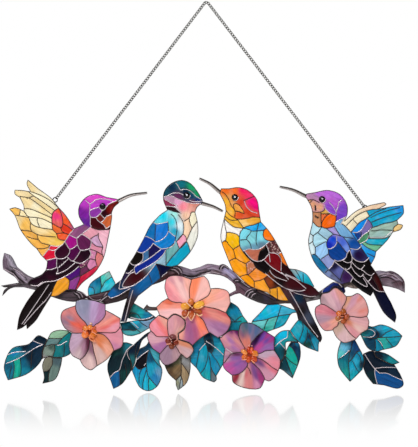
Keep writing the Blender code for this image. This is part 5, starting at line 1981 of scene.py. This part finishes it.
def add_middle(node, hub, spread, painted_gap_shade, beads, threads):
    """A flower's heap on a round dark base of painted shade between the beads: beads as (inner end, outer
    end, width, both ends' colours).
    """
    low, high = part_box(node)
    build = bmesh.new()
    tint = build.loops.layers.float_color.new("stain")
    # The base is a flat dark disc whose colour is painted shade between the beads.
    base = ((hub[0] - spread, hub[1]), (hub[0] + spread, hub[1]), 2 * spread, painted_gap_shade, painted_gap_shade)
    drops = [(base, BASE_FULLNESS, 0), *((bead, BEAD_FULLNESS, BEAD_RISE) for bead in beads)]
    for (inner, outer, width, inner_shade, outer_shade), fullness, rise in drops:
        start = on_pattern(inner)
        along = on_pattern(outer) - start
        side = Vector((-along.y, along.x)).normalized() * width * BEAD_PLUMPNESS * SQUARE / 2
        thick = width * SQUARE * fullness
        colours = [linear(inner_shade), linear(outer_shade)]
        made = bmesh.ops.create_uvsphere(build, u_segments=BEAD_SIDES, v_segments=BEAD_RINGS, radius=1)
        reach = {vert: (vert.co.x + 1) / 2 for vert in made["verts"]}
        for vert, part in reach.items():
            spot = start + along * part + side * vert.co.y
            vert.co = (spot.x, high[1] - rise * (1 - part) - thick * vert.co.z, spot.y)
        for face in {face for vert in reach for face in vert.link_faces}:
            for corner in face.loops:
                corner[tint] = blended(colours, reach[corner.vert])
    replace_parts(smooth_piece(node + "_beads", build, bead_glass), node)
    height = high[1] - 2 * BEAD_RISE
    add_rods(node + "_threads", [
        (curve_through(line), height, THREAD_RADII, (shade, shade))
        for shade, line in threads
    ], bead_glass)


bead_glass = fused_glass()
add_middle("stamens_big", (191.3, 308.8), 7, "5C200C", (
    ((190, 307), (180.6, 305.2), 6.5, "D8841C", "F4A840"),
    ((189, 308.5), (181, 308.3), 3.4, "D8A050", "F8BC70"),
    ((191.5, 305.5), (190.5, 298.2), 5.6, "B44E18", "E88C44"),
    ((193.5, 307.2), (204.5, 302.6), 6.8, "F0A838", "FFBC48"),
    ((192.5, 308.8), (202, 312.4), 5, "8C300C", "C86428"),
    ((191.5, 310), (191.2, 319.3), 6, "9C2E0C", "E07C40"),
    ((189, 310.2), (182, 315.2), 6.2, "80240C", "CC6434"),
    ((193, 307.2), (190, 308.2), 2.2, "E8B898", "E0A888"),
), (
    ("F8C8A0", ((186, 302.2), (188.5, 304.2), (191, 306.5))),
    ("F0B070", ((196.5, 308.6), (200, 307.8), (203.5, 305.8))),
    ("F4C48C", ((196.4, 313.6), (199.5, 315.6), (202.4, 314.2))),
    ("F0B898", ((188.3, 316.3), (191.2, 320.2), (194.3, 315.5), (194.8, 312.5))),
    ("F4BC94", ((181.6, 315.8), (184.5, 317.8), (187.6, 315.2), (189.3, 311.2))),
))
add_middle("stamens_left", (89.8, 331.8), 6.2, "6C2008", (
    ((87.8, 330), (83.2, 326), 5, "F89048", "D07028"),
    ((87, 330.2), (82.3, 329), 2.6, "B44A18", "A43A14"),
    ((89.3, 330), (91, 324.6), 4.8, "E87020", "EC9444"),
    ((91, 324), (91.6, 322.6), 2.4, "FCC8A0", "FCC8A0"),
    ((91, 329.3), (96.4, 326.8), 2.8, "E05830", "C86848"),
    ((91, 330.6), (97.5, 332), 3.8, "C84C10", "EC7C34"),
    ((90.5, 333), (96.6, 336), 4, "D87420", "DC7018"),
    ((89.6, 334.2), (94.2, 340), 4.8, "E07840", "F08848"),
    ((88.3, 331.8), (82.4, 337.2), 6.4, "D85418", "FC944C"),
), (
    ("F0946C", ((82.8, 330.4), (84.8, 331.4), (86.6, 331.6))),
    ("FC9C74", ((92, 331.2), (94.5, 332.8), (97, 334.6))),
    ("F09468", ((89.4, 337.2), (91, 339.8), (93.8, 341), (95.6, 339.8))),
    ("A83808", ((90.8, 337.8), (92.4, 339.2))),
))
add_middle("stamens_small", (172, 341.2), 4.8, "42100C", (
    ((172.3, 339.2), (173.8, 334), 6, "6A2C2C", "8A5050"),
    ((173, 336.4), (173.8, 334.6), 2.4, "A87078", "B07C84"),
    ((171, 340.6), (165.2, 341), 5, "6A1408", "8A3420"),
    ((171.5, 342.9), (166.2, 343.9), 2.4, "C88068", "E89880"),
    ((172, 343), (171.2, 349), 5.2, "6A2008", "8A4420"),
    ((173.3, 342), (178.7, 342.6), 4.8, "7A2408", "8A2C10"),
), (
    ("D09A8C", ((169, 337.2), (170.3, 338.6), (171.6, 340))),
    ("D89888", ((175.8, 339.8), (176.6, 340.6))),
    ("C08478", ((171.3, 341), (172, 341.8))),
    ("B86C58", ((174.3, 344.6), (175, 345.6))),
))
add_middle("stamens_purple", (249.5, 354.8), 6.2, "8C2408", (
    ((247.3, 354), (241, 349.8), 4.2, "FC9850", "E08840"),
    ((246.8, 352.5), (244.4, 348), 2, "A03000", "8A2808"),
    ((249.4, 353), (248.7, 346.6), 3.6, "C83010", "C8441C"),
    ((250.5, 353.5), (252.2, 346.8), 3.8, "E84C2C", "D86030"),
    ((251.3, 353.6), (257.8, 352), 4.8, "D05810", "F89838"),
    ((252.2, 354.8), (258.4, 354.8), 3, "F09040", "F89860"),
    ((251, 356), (256.8, 361.2), 5.2, "A83808", "E05830"),
    ((249, 356), (247.8, 362.6), 4.8, "C84018", "D85820"),
    ((248, 356), (241.3, 357.6), 4.6, "B84810", "E87830"),
    ((247.6, 354.8), (242.3, 354.8), 2.2, "B04808", "A03808"),
), (
    ("FCA898", ((248.2, 345.4), (249.6, 345))),
    ("E8A8A0", ((251.2, 345.2), (252.4, 345.8))),
    ("F49468", ((241.6, 359.4), (244.5, 359.4), (247, 359))),
    ("F89C70", ((251.2, 359.8), (253, 361.6), (254.6, 363))),
))
add_middle("stamens_right", (342.2, 316.6), 5.4, "521C0C", (
    ((341, 315.4), (336.6, 311.4), 5.2, "E07848", "C86018"),
    ((342.8, 315.4), (343.6, 308.4), 5, "A04010", "A8602C"),
    ((343.8, 316.2), (349.4, 317.4), 5.4, "B04010", "B8643C"),
    ((342.8, 318), (343.5, 323.6), 5.2, "A04014", "BC5C20"),
    ((341.2, 317.6), (335, 318.6), 4.8, "903410", "BC7840"),
), (
    ("F8BC94", ((336.2, 321.3), (339, 320.7), (341.4, 319))),
    ("D88068", ((339, 315.2), (341, 316.4), (343.4, 316.4))),
    ("E08870", ((344, 314.4), (345.6, 313))),
    ("A85038", ((345.8, 315), (347.2, 316))),
))


# The rings and the chain
# Two wire rings are soldered behind the birds' wings. A fine steel chain runs from each up to one
# link that goes over the hook; every oval link is turned a quarter against the one before it.

RING_RADIUS = 0.0017
RING_WIRE = 0.0004
LINK_PITCH = 0.00195
LINK_ACROSS = 0.0031
LINK_WIRE = 0.0007
HOOP_SIDES = 28
TOP_LINK_REACH = 0.4
RINGS = {"left": (55.2, 199.8), "right": (365, 207.6)}


def drawn_steel():
    """Drawn and polished steel wire: bright, with faint drawing marks."""
    material, tree, shader = shaded("drawn_steel_wire", {"Metallic": 1, "Roughness": 0.22})
    # Marks of wear are about 1 mm apart.
    marks = noise(tree, place_of(tree), 1000.0)
    finished(tree, shader, mixed(tree, marks, (*linear("4A4846"), 1), (*linear("A8A6A2"), 1)))
    return material


def chain_tree():
    """Geometry nodes that hang oval wire links along a curve, each turned against the last."""
    tree = bpy.data.node_groups.new("chain_links", "GeometryNodeTree")
    given = given_inputs(tree, {
        "Geometry": "Geometry", "Links": "Int", "Pitch": "Float", "Across": "Float", "Wire": "Float",
        "Metal": "Material",
    }).outputs
    loop = add_node(tree, "GeometryNodeCurvePrimitiveCircle", {"Resolution": 10, "Radius": 0.5})
    size = add_node(tree, "ShaderNodeCombineXYZ", {
        "X": worked_out(tree, "SUBTRACT", given["Across"], given["Wire"]),
        "Y": worked_out(tree, "ADD", given["Pitch"], given["Wire"]),
        "Z": 1.0,
    })
    oval = add_node(tree, "GeometryNodeTransform", {"Geometry": loop.outputs[0], "Scale": size.outputs[0]})
    section = add_node(tree, "GeometryNodeCurvePrimitiveCircle", {
        "Resolution": 5, "Radius": worked_out(tree, "MULTIPLY", given["Wire"], 0.5),
    })
    link = add_node(tree, "GeometryNodeCurveToMesh", {
        "Curve": oval.outputs[0], "Profile Curve": section.outputs[0],
    })
    spots = add_node(tree, "GeometryNodeCurveToPoints", {
        "Curve": given["Geometry"], "Count": given["Links"],
    }, mode="COUNT")
    lined_up = add_node(tree, "FunctionNodeAlignRotationToVector", {
        "Vector": spots.outputs["Tangent"],
    }, axis="Y")
    faced = add_node(tree, "FunctionNodeAlignRotationToVector", {
        "Rotation": lined_up.outputs[0], "Vector": (0, -1, 0),
    }, axis="Z", pivot_axis="Y")
    # Even and odd links are turned an eighth of a circle to either side.
    odd = worked_out(tree, "MODULO", add_node(tree, "GeometryNodeInputIndex").outputs[0], 2.0)
    twist = add_node(tree, "FunctionNodeAxisAngleToRotation", {
        "Axis": (0, 1, 0), "Angle": worked_out(tree, "MULTIPLY_ADD", odd, math.pi / 2, -math.pi / 4),
    })
    turned = add_node(tree, "FunctionNodeRotateRotation", {
        "Rotation": faced.outputs[0], "Rotate By": twist.outputs[0],
    }, rotation_space="LOCAL")
    hung = add_node(tree, "GeometryNodeInstanceOnPoints", {
        "Points": spots.outputs["Points"], "Instance": link.outputs[0], "Rotation": turned.outputs[0],
    })
    given_out(tree, hung.outputs[0], given["Metal"])
    return tree


def add_chain(name, node, start, end):
    """Chain links between two places, their number chosen so that their spacing is close to the pitch."""
    links = max(round((end - start).length / LINK_PITCH), 1)
    pitch = (end - start).length / links
    step = (end - start) / links
    reach = step / 2 if links > 1 else step * TOP_LINK_REACH
    line = [start + reach, end - reach]
    piece = made_by_nodes(name, flat_curve(name, [line], 0, False), chain_links, {
        "Links": links, "Pitch": pitch, "Across": LINK_ACROSS, "Wire": LINK_WIRE, "Metal": steel_wire,
    })
    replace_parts(piece, node)


steel_wire = drawn_steel()
chain_links = chain_tree()
for side, square in RINGS.items():
    middle = on_pattern(square)
    turns = [math.tau * step / HOOP_SIDES for step in range(HOOP_SIDES + 1)]
    hoop = [middle + Vector((math.cos(turn), math.sin(turn))) * RING_RADIUS for turn in turns]
    wire = (hoop, 0, (RING_WIRE, RING_WIRE), ("2A2424", "2A2424"))
    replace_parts(add_rods(f"ring_{side}_wire", [wire], wire_metal), f"ring_{side}")
    hook_end = Vector((math.copysign(LINK_PITCH / 2, middle.x), 0))
    start = middle + (hook_end - middle).normalized() * (RING_RADIUS - LINK_WIRE / 2)
    add_chain(f"chain_{side}_links", f"chain_{side}", start, hook_end)
add_chain("top_link", "chain_top_link", Vector((-LINK_PITCH / 2, 0)), Vector((LINK_PITCH / 2, 0)))


# The floor, the light and the camera
# A pale lit board lies just under the lowest leaves, polished so that they show in it faintly. The
# camera stands level with the middle of the picture, far off, as the ornament's even size shows.

PICTURE = (418, 447)
CAMERA_AWAY = 2.4
FILM_HEIGHT = 24
FLOOR_REACH = 1.5
FLOOR_Z = on_pattern((0, 392.2)).y
FLOOR_POLISH = 0.34
POLISH_REACH = 0.55


def add_stage():
    """The floor, as a wide slab that ends out of sight."""
    build = bmesh.new()
    bmesh.ops.create_grid(build, x_segments=1, y_segments=1, size=FLOOR_REACH)
    bmesh.ops.translate(build, verts=build.verts, vec=(0, 0, FLOOR_Z))
    mesh = bpy.data.meshes.new("floor")
    build.to_mesh(mesh)
    build.free()
    floor = linked("floor", mesh)
    material = bpy.data.materials.new("polished_light_board")
    material.use_nodes = True
    tree = material.node_tree
    tree.nodes.clear()
    glow = add_node(tree, "ShaderNodeEmission", {"Color": (1, 1, 1, 1), "Strength": 1.0})
    polish = add_node(tree, "ShaderNodeBsdfGlossy", {"Color": (1, 1, 1, 1), "Roughness": 0.05})
    # The board is polished under the ornament and goes matt towards the camera.
    away = add_node(tree, "ShaderNodeSeparateXYZ", {0: place_of(tree)}).outputs["Y"]
    shine = ranged(tree, away, (-POLISH_REACH, 0.0), (0.0, FLOOR_POLISH), interpolation_type="SMOOTHSTEP")
    board = add_node(tree, "ShaderNodeMixShader", {0: shine, 1: glow.outputs[0], 2: polish.outputs[0]})
    add_node(tree, "ShaderNodeOutputMaterial", {"Surface": board.outputs[0]})
    mesh.materials.append(material)


def add_area(name, place, aim, size, power):
    """A square soft light at a place, turned to an aim."""
    light = bpy.data.lights.new(name, "AREA")
    light.shape = "SQUARE"
    light.size = size
    light.energy = power
    item = linked(name, light)
    item.location = place
    item.rotation_euler = (Vector(aim) - Vector(place)).to_track_quat("-Z", "Y").to_euler()


def add_world():
    """A bright room, white behind the ornament and dimmer on the camera's side."""
    world = bpy.data.worlds.new("studio")
    bpy.context.scene.world = world
    world.use_nodes = True
    tree = world.node_tree
    tree.nodes.clear()
    place = add_node(tree, "ShaderNodeTexCoord")
    away = add_node(tree, "ShaderNodeSeparateXYZ", {0: place.outputs["Generated"]}).outputs["Y"]
    glow = ranged(tree, away, (0.0, 0.2), (0.12, 1.0))
    room = add_node(tree, "ShaderNodeBackground", {"Color": (1, 1, 1, 1), "Strength": glow})
    add_node(tree, "ShaderNodeOutputWorld", {"Surface": room.outputs[0]})


def add_camera():
    """A level camera square to the ornament, its long lens framing the whole picture."""
    camera = bpy.data.cameras.new("camera")
    camera.sensor_fit = "VERTICAL"
    camera.sensor_height = FILM_HEIGHT
    height = PICTURE[1] * SQUARE
    camera.lens = CAMERA_AWAY * FILM_HEIGHT / height
    item = linked("camera", camera)
    middle = on_pattern((PICTURE[0] / 2, PICTURE[1] / 2))
    item.location = (middle.x, -CAMERA_AWAY, middle.y)
    item.rotation_euler = (math.pi / 2, 0, 0)
    bpy.context.scene.camera = item


add_stage()
add_world()
add_area("key_light", place=(-0.5, -1.1, 0.7), aim=(0, 0, -0.2), size=0.7, power=17.5)
add_camera()
bpy.context.scene.view_settings.view_transform = "Standard"
